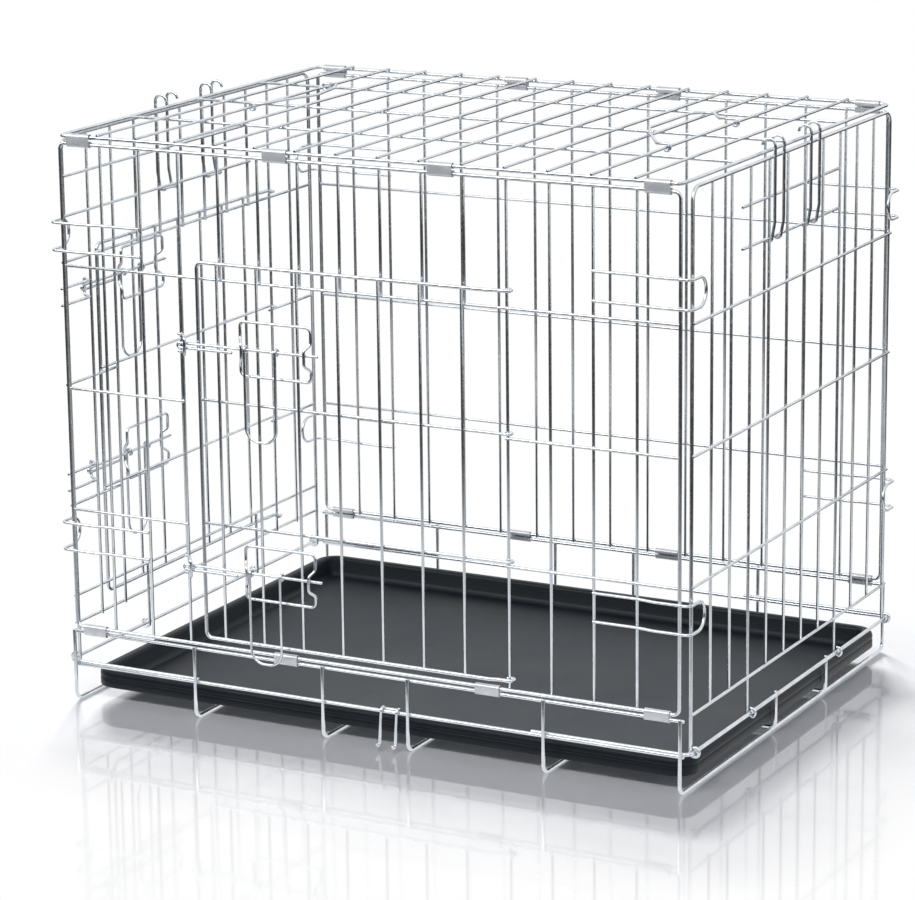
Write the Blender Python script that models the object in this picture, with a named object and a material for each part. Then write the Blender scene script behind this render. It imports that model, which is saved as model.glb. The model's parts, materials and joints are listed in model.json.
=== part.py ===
"""Folding wire dog crate with two doors, rod latches, a lift-out tray and hinge clips.

Sizes are in millimetres and the wires are drawn in millimetres; METRES scales them
to the scene. X runs along the long side, the front long side faces -Y and Z is up.
"""

import math

import bmesh
import bpy
from mathutils import Matrix, Vector

METRES = 0.001

# Wires and fits
FRAME_WIRE = 3.4
FILL_WIRE = 2.7
BOLT_WIRE = 2.7
HANDLE_WIRE = 2.4
BAIL_WIRE = 2.7
WELD_DEPTH = 0.5
FRAME_WELD_DEPTH = 0.65
OVERHANG = 1.5
SEAT_GAP = 0.3
RUNNING_GAP = 0.35
ARC_STEP = 46.0

# Open rings that turn on a wire: where they start and end, in degrees
RING_START = 90.0
RING_END = 330.0

# Long panels
PANEL_LENGTH = 622.0
PANEL_PITCHES = 15
CRATE_DEPTH = 472.0
PIVOT_HEIGHT = 73.0
PANEL_TOP = 533.0
LOWEST_CROSS = 187.0
CROSS_PITCH = 116.0
PANEL_CORNER = 6.0
BASE_RAIL_SPACING = 5.0
TOP_RAIL_SPACING = 6.8

# Base
FOOT_POSITIONS = (44.0, 180.5)
END_FOOT_PAST_PANEL = 2.0
FOOT_CORNER = 8.0
FOOT_OVERHANG = 0.6
RAIL_OVERHANG = 2.7
RIM_HEIGHT = 35.6
RIM_PAST_PANEL = 10.0
RIM_CORNER = 8.0
LEFT_RETURN = 143.0
RIGHT_RETURN = 154.0
FLOOR_WIRES = (-39.0, 81.0)

# End panels
END_SIDE_GAP = 0.9
END_PITCHES = 11
END_TOP_RISE = 2.5
END_CORNER = 12.0
END_FOOT_RAIL = 72.0
EYE_LEGS = (3, 8)
EYE_RADIUS = 4.0
EYE_SWEEP = 282.0
HOOK_RAIL_DROPS = (72.5, 35.5)
HOOK_RAIL_LAST = 8
LEFT_HOOK_RAIL_FIRST = 0
RIGHT_HOOK_RAIL_FIRST = 3
RIGHT_HOOK_RAIL_TAIL = 13.0

# Doors, their posts and edges counted in pitches of the panel they hang on
FRONT_DOOR_HINGE = 11
FRONT_DOOR_FIRST = 4
FRONT_DOOR_EDGE = 3.5
FRONT_KEEPER_POST = 3
FRONT_DOOR_LIFT = 9.0
FRONT_DOOR_TOP = 434.5
LEFT_DOOR_HINGE = 9
LEFT_DOOR_FIRST = 3
LEFT_DOOR_EDGE = 1.5
LEFT_OPENING_POST = 2
LEFT_KEEPER_POST = 1
LEFT_DOOR_SILL = 98.5
LEFT_DOOR_LIFT = 15.0
LEFT_DOOR_TOP = 425.5
DOOR_CORNER = 6.0
DOOR_RAIL_LIFT = 4.0
DOOR_STANDOFF = 0.65
DOOR_RING_PLAY = 0.84
DOOR_ARM = 18.0
DOOR_ARM_BEND = 9.0

# Latches
FRONT_LATCHES = (360.0, 151.0)
LEFT_LATCHES = (388.5, 211.5)
GUIDE_START = 46.0
GUIDE_WIDTH = 73.0
GUIDE_HEIGHT = 50.0
GUIDE_ARCH_ROOM = 3.5
GUIDE_ARCH_RUN = 5.0
GUIDE_ARCH_PINCH = 4.0
GUIDE_BEND = 5.0
BOLT_REACH = 18.5
BOLT_LENGTH = 146.0
HAIRPIN_LENGTH = 57.0
HAIRPIN_SPACING = 4.4
HANDLE_START = 53.0
HANDLE_WIDTH = 32.0
HANDLE_DROP = 84.0
HANDLE_BEND = 13.4
HANDLE_EYE_SWEEP = 262.0
KEEPER_HEIGHT = 16.0
KEEPER_REACH = 11.0
KEEPER_RUN = 2.0
KEEPER_TAIL = 3.0
KEEPER_BEND = 3.0

# Tongues
TONGUE_LENGTH = 83.0
TONGUE_HEIGHTS = (446.0, 160.5)
TONGUE_SPREAD = 26.0
TONGUE_TURN = 30.0
TONGUE_CLEARANCE = 2.5

# Top hooks
HOOK_CELLS = (4, 6)
HOOK_WIDTH = 20.0
HOOK_OFFSET = 3.9
HOOK_RISE = 5.8
HOOK_ARC = 6.0
HOOK_HEEL = 14.0
HOOK_HEEL_SWEEP = 150.0

# Bails: the upright of the top they turn on, and their outlines as (y, distance from it)
RIGHT_BAIL_WIRE = 13
LEFT_BAIL_WIRE = 2
BAIL_BEND = 10.0
RIGHT_BAIL = [(66.0, -16.0), (97.0, -36.0), (80.0, -52.0), (-8.0, -52.0), (-30.0, -42.0), (-84.0, -10.0)]
LEFT_BAIL = [(-31.0, -10.0), (1.0, -16.0), (41.0, -29.0), (86.0, -22.0), (108.0, -12.0)]

# Closure hook
CLOSURE_START = 17.0
CLOSURE_WIDTH = 16.0
CLOSURE_DROP = 29.0
CLOSURE_LEAN = 3.4
CLOSURE_CURL = 2.5
CLOSURE_CURL_LIFT = 1.5
CLOSURE_SWEEP = 150.0

# Clips
CLIP_LENGTH = 24.0
CLIP_WALL = 0.9
CLIP_SLIT = 1.6
CLIP_PLAY = 0.39
CLIP_STEPS = 4
TOP_CLIP_CELLS = (0, 5, 9, 14)
FRONT_BASE_CLIP_CELLS = (0, 5, 10, 14)
BACK_BASE_CLIP_CELLS = (0, 5, 9, 14)

# Tray
TRAY_SIDE_PLAY = 11.0
TRAY_LEFT_PLAY = 12.0
TRAY_STOP_GAP = 1.0
TRAY_FLOOR = 2.5
TRAY_TOP = 28.0
TRAY_LIP_DROP = 16.0
TRAY_LIP_WIDTH = 11.0
TRAY_LIP_SKIN = 2.5
TRAY_GROOVE_DROP = 7.5
TRAY_GROOVE_HALF = 0.9
TRAY_GROOVE_DEPTH = 1.0
TRAY_CORNER = 22.0
TRAY_CORNER_STEPS = 4

# Derived positions
R_FRAME = FRAME_WIRE / 2
R_FILL = FILL_WIRE / 2
R_BOLT = BOLT_WIRE / 2
R_HANDLE = HANDLE_WIRE / 2
HALF_LENGTH = PANEL_LENGTH / 2
HALF_DEPTH = CRATE_DEPTH / 2
PITCH = PANEL_LENGTH / PANEL_PITCHES
CROSS_HEIGHTS = [LOWEST_CROSS + CROSS_PITCH * i for i in range(3)]
DOOR_HEAD = CROSS_HEIGHTS[-1]
BASE_RAIL = PIVOT_HEIGHT - BASE_RAIL_SPACING
TOP_HEIGHT = PANEL_TOP + TOP_RAIL_SPACING
TOP_LONG_OFFSET = HALF_DEPTH / 2
FRAME_TO_FRAME = FRAME_WIRE - WELD_DEPTH
FRAME_TO_FILL = R_FRAME + R_FILL - FRAME_WELD_DEPTH
FILL_TO_FILL = FILL_WIRE - WELD_DEPTH
UPRIGHT_PLANE = HALF_DEPTH - FRAME_TO_FILL
CROSS_PLANE = UPRIGHT_PLANE + FILL_TO_FILL
FOOT_PLANE = HALF_DEPTH + FRAME_TO_FRAME
FLOOR_RUN = R_FRAME
FLOOR_WIRE_HEIGHT = FLOOR_RUN + FRAME_TO_FRAME
END_FOOT_POSITION = HALF_LENGTH + END_FOOT_PAST_PANEL
END_RIM_REACH = HALF_LENGTH + RIM_PAST_PANEL
END_RIM_HEIGHT = RIM_HEIGHT + FRAME_WIRE * math.cos(math.pi / 6) - WELD_DEPTH
RISER = END_RIM_REACH - FRAME_TO_FRAME
DOOR_RING = R_FRAME + R_FILL + DOOR_RING_PLAY
END_HALF_WIDTH = UPRIGHT_PLANE - DOOR_RING - FRAME_WIRE - END_SIDE_GAP
END_PITCH = 2 * END_HALF_WIDTH / END_PITCHES
END_TOP = PANEL_TOP + END_TOP_RISE
HOOK_RAILS = [END_TOP - drop for drop in HOOK_RAIL_DROPS]
HOOK_TIP_HEIGHT = TOP_HEIGHT + HOOK_RISE
END_PLANE = END_RIM_REACH - EYE_RADIUS
END_CROSS_PLANE = END_PLANE + FILL_TO_FILL
END_HOOK_PLANE = END_PLANE - FILL_TO_FILL
DOOR_CROSS_INSET = FILL_TO_FILL
FRONT_DOOR_PLANE = CROSS_PLANE + R_FILL + R_FRAME + DOOR_STANDOFF
LEFT_DOOR_PLANE = END_CROSS_PLANE + R_FILL + R_FRAME + DOOR_STANDOFF
GUIDE_PLANE = FILL_WIRE + SEAT_GAP
BOLT_PLANE = R_FILL + SEAT_GAP + HANDLE_WIRE + RUNNING_GAP + R_BOLT
HANDLE_EYE = R_BOLT + RUNNING_GAP + R_HANDLE
ARCH_PLANE = BOLT_PLANE + R_BOLT + RUNNING_GAP + R_FILL
TRAY_LEFT = -END_PLANE + TRAY_LEFT_PLAY
TRAY_RIGHT = RISER - R_FRAME - TRAY_STOP_GAP
TRAY_WIDTH = CRATE_DEPTH - 2 * TRAY_SIDE_PLAY

# Which way a corner of the six-sided wire points before it is turned
CORNER_AT_REST = {"x": "y", "y": "x", "z": "x"}


def grid_x(index):
    """Position of one upright of a long panel."""
    return -HALF_LENGTH + PITCH * index


def grid_y(index):
    """Position of one upright of an end panel."""
    return -END_HALF_WIDTH + END_PITCH * index


def clear_scene():
    for obj in list(bpy.data.objects):
        bpy.data.objects.remove(obj)


def make_collection(name):
    collection = bpy.data.collections.new(name)
    bpy.context.scene.collection.children.link(collection)
    return collection


def make_material(name, colour, metallic, roughness):
    material = bpy.data.materials.new(name)
    material.use_nodes = True
    shader = material.node_tree.nodes["Principled BSDF"]
    shader.inputs["Base Color"].default_value = (*colour, 1.0)
    shader.inputs["Metallic"].default_value = metallic
    shader.inputs["Roughness"].default_value = roughness
    material.diffuse_color = (*colour, 1.0)
    return material


def rounded(points, radius, closed=False):
    """The same path with each corner swapped for a few short chords that keep to the bend."""
    path = [Vector(p) for p in points]
    count = len(path)
    result = []
    for index, corner in enumerate(path):
        inside = closed or 0 < index < count - 1
        if not inside or radius <= 0:
            result.append(corner)
            continue
        back = path[index - 1] - corner
        ahead = path[(index + 1) % count] - corner
        opening = back.angle(ahead)
        turn = math.pi - opening
        steps = max(1, math.ceil(math.degrees(turn) / ARC_STEP - 0.01))
        if steps == 1:
            result.append(corner)
            continue
        reach = min(radius / math.tan(opening / 2), 0.48 * back.length, 0.48 * ahead.length)
        true_radius = reach * math.tan(opening / 2)
        middle = (back.normalized() + ahead.normalized()).normalized()
        centre = corner + middle * (true_radius / math.sin(opening / 2))
        start = (corner + back.normalized() * reach - centre).normalized()
        end = (corner + ahead.normalized() * reach - centre).normalized()
        chord_radius = true_radius / math.cos(turn / steps / 2)
        for step in range(steps):
            spoke = start.slerp(end, (2 * step + 1) / (2 * steps)).normalized()
            result.append(centre + spoke * chord_radius)
    return result[-1:] + result[:-1] if closed else result


def arc(centre, across, up, radius, first, last):
    """Points round an arc in the plane of two unit vectors, its chords never inside the radius."""
    steps = max(1, math.ceil(abs(last - first) / ARC_STEP - 0.01))
    half = (last - first) / steps / 2
    angles = [first] + [first + half * (2 * step + 1) for step in range(steps)] + [last]
    points = []
    for index, angle in enumerate(angles):
        inner = 0 < index < len(angles) - 1
        length = radius / math.cos(math.radians(half)) if inner else radius
        turn = math.radians(angle)
        spoke = Vector(across) * math.cos(turn) + Vector(up) * math.sin(turn)
        points.append(Vector(centre) + spoke * length)
    return points


def wire(points, diameter, facing, closed=False):
    """One wire: its path, its thickness and the axis that a corner of its section faces."""
    return {"points": [Vector(p) for p in points], "diameter": diameter, "facing": facing, "closed": closed}


def wire_mesh(wires, name):
    """All the wires of one list as a mesh of separate six-sided bodies."""
    curve = bpy.data.curves.new(name, "CURVE")
    curve.dimensions = "3D"
    curve.bevel_depth = METRES / 2
    curve.bevel_resolution = 1
    curve.use_fill_caps = True
    for item in wires:
        points = item["points"]
        first = points[1] - points[0]
        main = "xyz"[max(range(3), key=lambda axis: abs(first[axis]))]
        turned = CORNER_AT_REST[main] != item["facing"]
        spline = curve.splines.new("POLY")
        spline.points.add(len(points) - 1)
        spline.use_cyclic_u = item["closed"]
        for target, point in zip(spline.points, points):
            target.co = (*(point * METRES), 1.0)
            target.radius = item["diameter"]
            target.tilt = math.pi / 6 if turned else 0.0
    holder = bpy.data.objects.new(name, curve)
    bpy.context.scene.collection.objects.link(holder)
    bpy.context.view_layer.update()
    graph = bpy.context.evaluated_depsgraph_get()
    mesh = bpy.data.meshes.new_from_object(holder.evaluated_get(graph))
    bpy.data.objects.remove(holder)
    bpy.data.curves.remove(curve)
    tidy_mesh(mesh)
    return mesh


def tidy_mesh(mesh):
    """Weld doubled points and turn every face outward."""
    work = bmesh.new()
    work.from_mesh(mesh)
    bmesh.ops.remove_doubles(work, verts=work.verts, dist=0.002 * METRES)
    bmesh.ops.recalc_face_normals(work, faces=work.faces)
    work.to_mesh(mesh)
    work.free()


def joined(first, second):
    """The two meshes joined into one body by an exact Boolean."""
    base = bpy.data.objects.new("joined_base", first)
    other = bpy.data.objects.new("joined_other", second)
    for obj in (base, other):
        bpy.context.scene.collection.objects.link(obj)
    step = base.modifiers.new("union", "BOOLEAN")
    step.operation = "UNION"
    step.solver = "EXACT"
    step.object = other
    bpy.context.view_layer.update()
    graph = bpy.context.evaluated_depsgraph_get()
    mesh = bpy.data.meshes.new_from_object(base.evaluated_get(graph))
    for obj in (base, other):
        bpy.data.objects.remove(obj)
    tidy_mesh(mesh)
    return mesh


def place(collection, name, mesh, look, origin=(0, 0, 0)):
    """Turn a mesh into a named object whose origin sits on its joint."""
    centre = Vector(origin) * METRES
    mesh.transform(Matrix.Translation(-centre))
    mesh.name = name
    mesh.materials.clear()
    mesh.materials.append(make_material(name + "_material", *look))
    for face in mesh.polygons:
        face.use_smooth = True
    mesh.set_sharp_from_angle(angle=math.radians(66))
    obj = bpy.data.objects.new(name, mesh)
    obj.location = centre
    collection.objects.link(obj)
    return obj


def welded(collection, name, layers, look, origin=(0, 0, 0)):
    """One body from layers of wires; the wires of one layer don't touch each other."""
    mesh = wire_mesh(layers[0], name + "_layer")
    for layer in layers[1:]:
        mesh = joined(mesh, wire_mesh(layer, name + "_layer"))
    return place(collection, name, mesh, look, origin)


ZINC = ((0.52, 0.54, 0.56), 1.0, 0.32)
CLIP_ZINC = ((0.42, 0.44, 0.46), 1.0, 0.38)
BLACK_PLASTIC = ((0.018, 0.019, 0.022), 0.0, 0.42)


def build_base(collection):
    feet = []
    for x in FOOT_POSITIONS + (END_FOOT_POSITION,):
        for side in (-1, 1):
            path = [
                (side * x, -FOOT_PLANE, BASE_RAIL + R_FRAME + FOOT_OVERHANG),
                (side * x, -FOOT_PLANE, FLOOR_RUN),
                (side * x, FOOT_PLANE, FLOOR_RUN),
                (side * x, FOOT_PLANE, BASE_RAIL + R_FRAME + FOOT_OVERHANG),
            ]
            feet.append(wire(rounded(path, FOOT_CORNER), FRAME_WIRE, "y"))
    end = END_FOOT_POSITION + RAIL_OVERHANG
    rails = []
    for y in (-HALF_DEPTH, HALF_DEPTH):
        rails.append(wire([(-end, y, BASE_RAIL), (end, y, BASE_RAIL)], FRAME_WIRE, "y"))
        rails.append(wire([(-end, y, RIM_HEIGHT), (end, y, RIM_HEIGHT)], FRAME_WIRE, "y"))
    rims = []
    for side, length in ((-1, LEFT_RETURN), (1, RIGHT_RETURN)):
        inner = side * (END_RIM_REACH - length)
        outer = side * END_RIM_REACH
        path = [
            (inner, -HALF_DEPTH, END_RIM_HEIGHT),
            (outer, -HALF_DEPTH, END_RIM_HEIGHT),
            (outer, HALF_DEPTH, END_RIM_HEIGHT),
            (inner, HALF_DEPTH, END_RIM_HEIGHT),
        ]
        rims.append(wire(rounded(path, RIM_CORNER), FRAME_WIRE, "y"))
    floor = []
    for y in FLOOR_WIRES:
        path = [
            (-END_FOOT_POSITION - FRAME_WIRE, y, FLOOR_WIRE_HEIGHT),
            (RISER, y, FLOOR_WIRE_HEIGHT),
            (RISER, y, END_RIM_HEIGHT + OVERHANG),
        ]
        floor.append(wire(rounded(path, PANEL_CORNER), FRAME_WIRE, "z"))
    welded(collection, "base_frame", [feet, rails, rims, floor], ZINC)


def panel_loop(plane):
    corners = [
        (-HALF_LENGTH, plane, PIVOT_HEIGHT),
        (HALF_LENGTH, plane, PIVOT_HEIGHT),
        (HALF_LENGTH, plane, PANEL_TOP),
        (-HALF_LENGTH, plane, PANEL_TOP),
    ]
    return wire(rounded(corners, PANEL_CORNER, closed=True), FRAME_WIRE, "y", closed=True)


def build_front_panel(collection):
    uprights = []
    for index in range(1, PANEL_PITCHES):
        over_door = FRONT_DOOR_FIRST <= index < FRONT_DOOR_HINGE
        bottom = DOOR_HEAD if over_door else PIVOT_HEIGHT
        x = grid_x(index)
        path = [(x, -UPRIGHT_PLANE, bottom - OVERHANG), (x, -UPRIGHT_PLANE, PANEL_TOP + OVERHANG)]
        uprights.append(wire(path, FILL_WIRE, "y"))
    crosses = []
    left = grid_x(FRONT_KEEPER_POST) + OVERHANG
    right = grid_x(FRONT_DOOR_HINGE) - OVERHANG
    for z in CROSS_HEIGHTS:
        spans = [(-HALF_LENGTH, HALF_LENGTH)]
        if z < DOOR_HEAD:
            spans = [(-HALF_LENGTH, left), (right, HALF_LENGTH)]
        for first, last in spans:
            crosses.append(wire([(first, -CROSS_PLANE, z), (last, -CROSS_PLANE, z)], FILL_WIRE, "y"))
    origin = (0, -HALF_DEPTH, PIVOT_HEIGHT)
    welded(collection, "front_panel", [uprights, crosses, [panel_loop(-HALF_DEPTH)]], ZINC, origin)


def build_back_panel(collection):
    uprights = []
    for index in range(1, PANEL_PITCHES):
        x = grid_x(index)
        path = [(x, UPRIGHT_PLANE, PIVOT_HEIGHT - OVERHANG), (x, UPRIGHT_PLANE, PANEL_TOP + OVERHANG)]
        uprights.append(wire(path, FILL_WIRE, "y"))
    crosses = []
    for z in CROSS_HEIGHTS:
        path = [(-HALF_LENGTH, CROSS_PLANE, z), (HALF_LENGTH, CROSS_PLANE, z)]
        crosses.append(wire(path, FILL_WIRE, "y"))
    origin = (0, HALF_DEPTH, PIVOT_HEIGHT)
    welded(collection, "back_panel", [uprights, crosses, [panel_loop(HALF_DEPTH)]], ZINC, origin)


def build_top_panel(collection):
    corners = [
        (-HALF_LENGTH, -HALF_DEPTH, TOP_HEIGHT),
        (HALF_LENGTH, -HALF_DEPTH, TOP_HEIGHT),
        (HALF_LENGTH, HALF_DEPTH, TOP_HEIGHT),
        (-HALF_LENGTH, HALF_DEPTH, TOP_HEIGHT),
    ]
    loop = wire(rounded(corners, PANEL_CORNER, closed=True), FRAME_WIRE, "z", closed=True)
    across_height = TOP_HEIGHT + FRAME_TO_FILL
    long_height = across_height - FILL_TO_FILL
    reach = HALF_DEPTH + OVERHANG
    across = []
    for index in range(1, PANEL_PITCHES):
        x = grid_x(index)
        across.append(wire([(x, -reach, across_height), (x, reach, across_height)], FILL_WIRE, "z"))
    along = []
    for y in (-TOP_LONG_OFFSET, 0.0, TOP_LONG_OFFSET):
        along.append(wire([(-HALF_LENGTH, y, long_height), (HALF_LENGTH, y, long_height)], FILL_WIRE, "z"))
    origin = (0, HALF_DEPTH, PANEL_TOP)
    welded(collection, "top_panel", [across, along, [loop]], ZINC, origin)


def eye_leg(side, y, top):
    """A leg that runs down from the panel and turns round the end rim in an open eye."""
    centre = (side * END_RIM_REACH, y, END_RIM_HEIGHT)
    turn = arc(centre, (side, 0, 0), (0, 0, 1), EYE_RADIUS, 180, 180 + EYE_SWEEP)
    return [Vector((side * END_PLANE, y, top))] + turn


def build_end_panel(collection, name, side, door):
    plane = side * END_PLANE
    frame_eye = eye_leg(side, 0, END_TOP)[1:]
    near = [Vector((p.x, -END_HALF_WIDTH, p.z)) for p in reversed(frame_eye)]
    far = [Vector((p.x, END_HALF_WIDTH, p.z)) for p in frame_eye]
    corners = [
        (plane, -END_HALF_WIDTH, END_FOOT_RAIL),
        (plane, -END_HALF_WIDTH, END_TOP),
        (plane, END_HALF_WIDTH, END_TOP),
        (plane, END_HALF_WIDTH, END_FOOT_RAIL),
    ]
    frame = [wire(near + rounded(corners, END_CORNER) + far, FRAME_WIRE, "x")]
    uprights = []
    for index in range(1, END_PITCHES):
        y = grid_y(index)
        in_doorway = door and LEFT_OPENING_POST < index < LEFT_DOOR_HINGE
        if in_doorway:
            uprights.append(wire([(plane, y, END_TOP), (plane, y, DOOR_HEAD - OVERHANG)], FILL_WIRE, "x"))
        if index in EYE_LEGS:
            top = LEFT_DOOR_SILL + OVERHANG if in_doorway else END_TOP
            uprights.append(wire(eye_leg(side, y, top), FILL_WIRE, "x"))
        elif not in_doorway:
            path = [(plane, y, END_TOP), (plane, y, END_FOOT_RAIL - OVERHANG)]
            uprights.append(wire(path, FILL_WIRE, "x"))
    reach = END_HALF_WIDTH + OVERHANG
    spans = [(-reach, reach, END_FOOT_RAIL)]
    if door:
        spans.append((-reach, reach, LEFT_DOOR_SILL))
    for z in CROSS_HEIGHTS:
        if door and z < DOOR_HEAD:
            spans.append((-reach, grid_y(LEFT_OPENING_POST) + OVERHANG, z))
            spans.append((grid_y(LEFT_DOOR_HINGE) - OVERHANG, reach, z))
        else:
            spans.append((-reach, reach, z))
    cross_x = side * END_CROSS_PLANE
    crosses = [wire([(cross_x, first, z), (cross_x, last, z)], FILL_WIRE, "x") for first, last, z in spans]
    hook_x = side * END_HOOK_PLANE
    first = grid_y(LEFT_HOOK_RAIL_FIRST) - OVERHANG
    if side > 0:
        first = grid_y(RIGHT_HOOK_RAIL_FIRST) - RIGHT_HOOK_RAIL_TAIL
    last = grid_y(HOOK_RAIL_LAST) + OVERHANG
    for z in HOOK_RAILS:
        crosses.append(wire([(hook_x, first, z), (hook_x, last, z)], FILL_WIRE, "x"))
    origin = (side * END_RIM_REACH, 0, END_RIM_HEIGHT)
    welded(collection, name, [frame, uprights, crosses], ZINC, origin)


def build_door(collection, name, spot, facing, shape):
    """A door in its own frame: u from hinge to free edge, n outward, z up."""
    pivot = shape["pivot"]
    edge = shape["edge"]
    ring_line = pivot + DOOR_RING

    def ring(z, radius):
        centre = Vector((0, pivot, z))
        return arc(centre, (1, 0, 0), (0, 1, 0), radius, RING_START, RING_END)

    bottom = shape["bottom"]
    top = shape["top"]
    outline = [(DOOR_ARM, 0, bottom), (edge, 0, bottom), (edge, 0, top), (DOOR_ARM, 0, top)]
    path = list(reversed(ring(bottom, DOOR_RING))) + [Vector((DOOR_ARM_BEND, ring_line, bottom))]
    path += rounded(outline, DOOR_CORNER)
    path += [Vector((DOOR_ARM_BEND, ring_line, top))] + ring(top, DOOR_RING)
    frame = [wire([spot(p) for p in path], FRAME_WIRE, facing)]
    uprights = []
    for u in shape["uprights"]:
        ends = [Vector((u, 0, bottom)), Vector((u, 0, top))]
        uprights.append(wire([spot(p) for p in ends], FILL_WIRE, facing))
    crosses = []
    cross_ring = -DOOR_CROSS_INSET - pivot
    for z in shape["rails"]:
        path = [Vector((edge + OVERHANG, -DOOR_CROSS_INSET, z))] + ring(z, cross_ring)
        crosses.append(wire([spot(p) for p in path], FILL_WIRE, facing))
    origin = spot(Vector((0, pivot, 0)))
    welded(collection, name, [frame, uprights, crosses], ZINC, origin)


def front_door_spot(point):
    return Vector((grid_x(FRONT_DOOR_HINGE) - point.x, -FRONT_DOOR_PLANE - point.y, point.z))


def left_door_spot(point):
    return Vector((-LEFT_DOOR_PLANE - point.y, grid_y(LEFT_DOOR_HINGE) - point.x, point.z))


def build_front_door(collection):
    hinge = grid_x(FRONT_DOOR_HINGE)
    shape = {
        "pivot": UPRIGHT_PLANE - FRONT_DOOR_PLANE,
        "edge": hinge - grid_x(FRONT_DOOR_EDGE),
        "bottom": PIVOT_HEIGHT + FRONT_DOOR_LIFT,
        "top": FRONT_DOOR_TOP,
        "uprights": [hinge - grid_x(i) for i in range(FRONT_DOOR_FIRST, FRONT_DOOR_HINGE)],
        "rails": [z + DOOR_RAIL_LIFT for z in CROSS_HEIGHTS[:-1]],
    }
    build_door(collection, "front_door", front_door_spot, "y", shape)
    for level, height in zip(("upper", "lower"), FRONT_LATCHES):
        keeper_post = hinge - grid_x(FRONT_KEEPER_POST)
        build_latch(collection, "front_" + level, front_door_spot, "y", {
            "edge": shape["edge"],
            "height": height,
            "post": keeper_post,
            "tail": keeper_post + KEEPER_TAIL,
            "post_face": UPRIGHT_PLANE - FRONT_DOOR_PLANE + R_FILL,
        })


def build_left_door(collection):
    hinge = grid_y(LEFT_DOOR_HINGE)
    shape = {
        "pivot": END_PLANE - LEFT_DOOR_PLANE,
        "edge": hinge - grid_y(LEFT_DOOR_EDGE),
        "bottom": END_FOOT_RAIL + LEFT_DOOR_LIFT,
        "top": LEFT_DOOR_TOP,
        "uprights": [hinge - grid_y(i) for i in range(LEFT_DOOR_FIRST, LEFT_DOOR_HINGE)],
        "rails": [z + DOOR_RAIL_LIFT for z in CROSS_HEIGHTS[:-1]],
    }
    build_door(collection, "left_door", left_door_spot, "x", shape)
    for level, height in zip(("upper", "lower"), LEFT_LATCHES):
        build_latch(collection, "left_" + level, left_door_spot, "x", {
            "edge": shape["edge"],
            "height": height,
            "post": hinge - grid_y(LEFT_KEEPER_POST),
            "tail": hinge - grid_y(0) + KEEPER_TAIL,
            "post_face": END_PLANE - LEFT_DOOR_PLANE + R_FRAME,
        })


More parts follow.
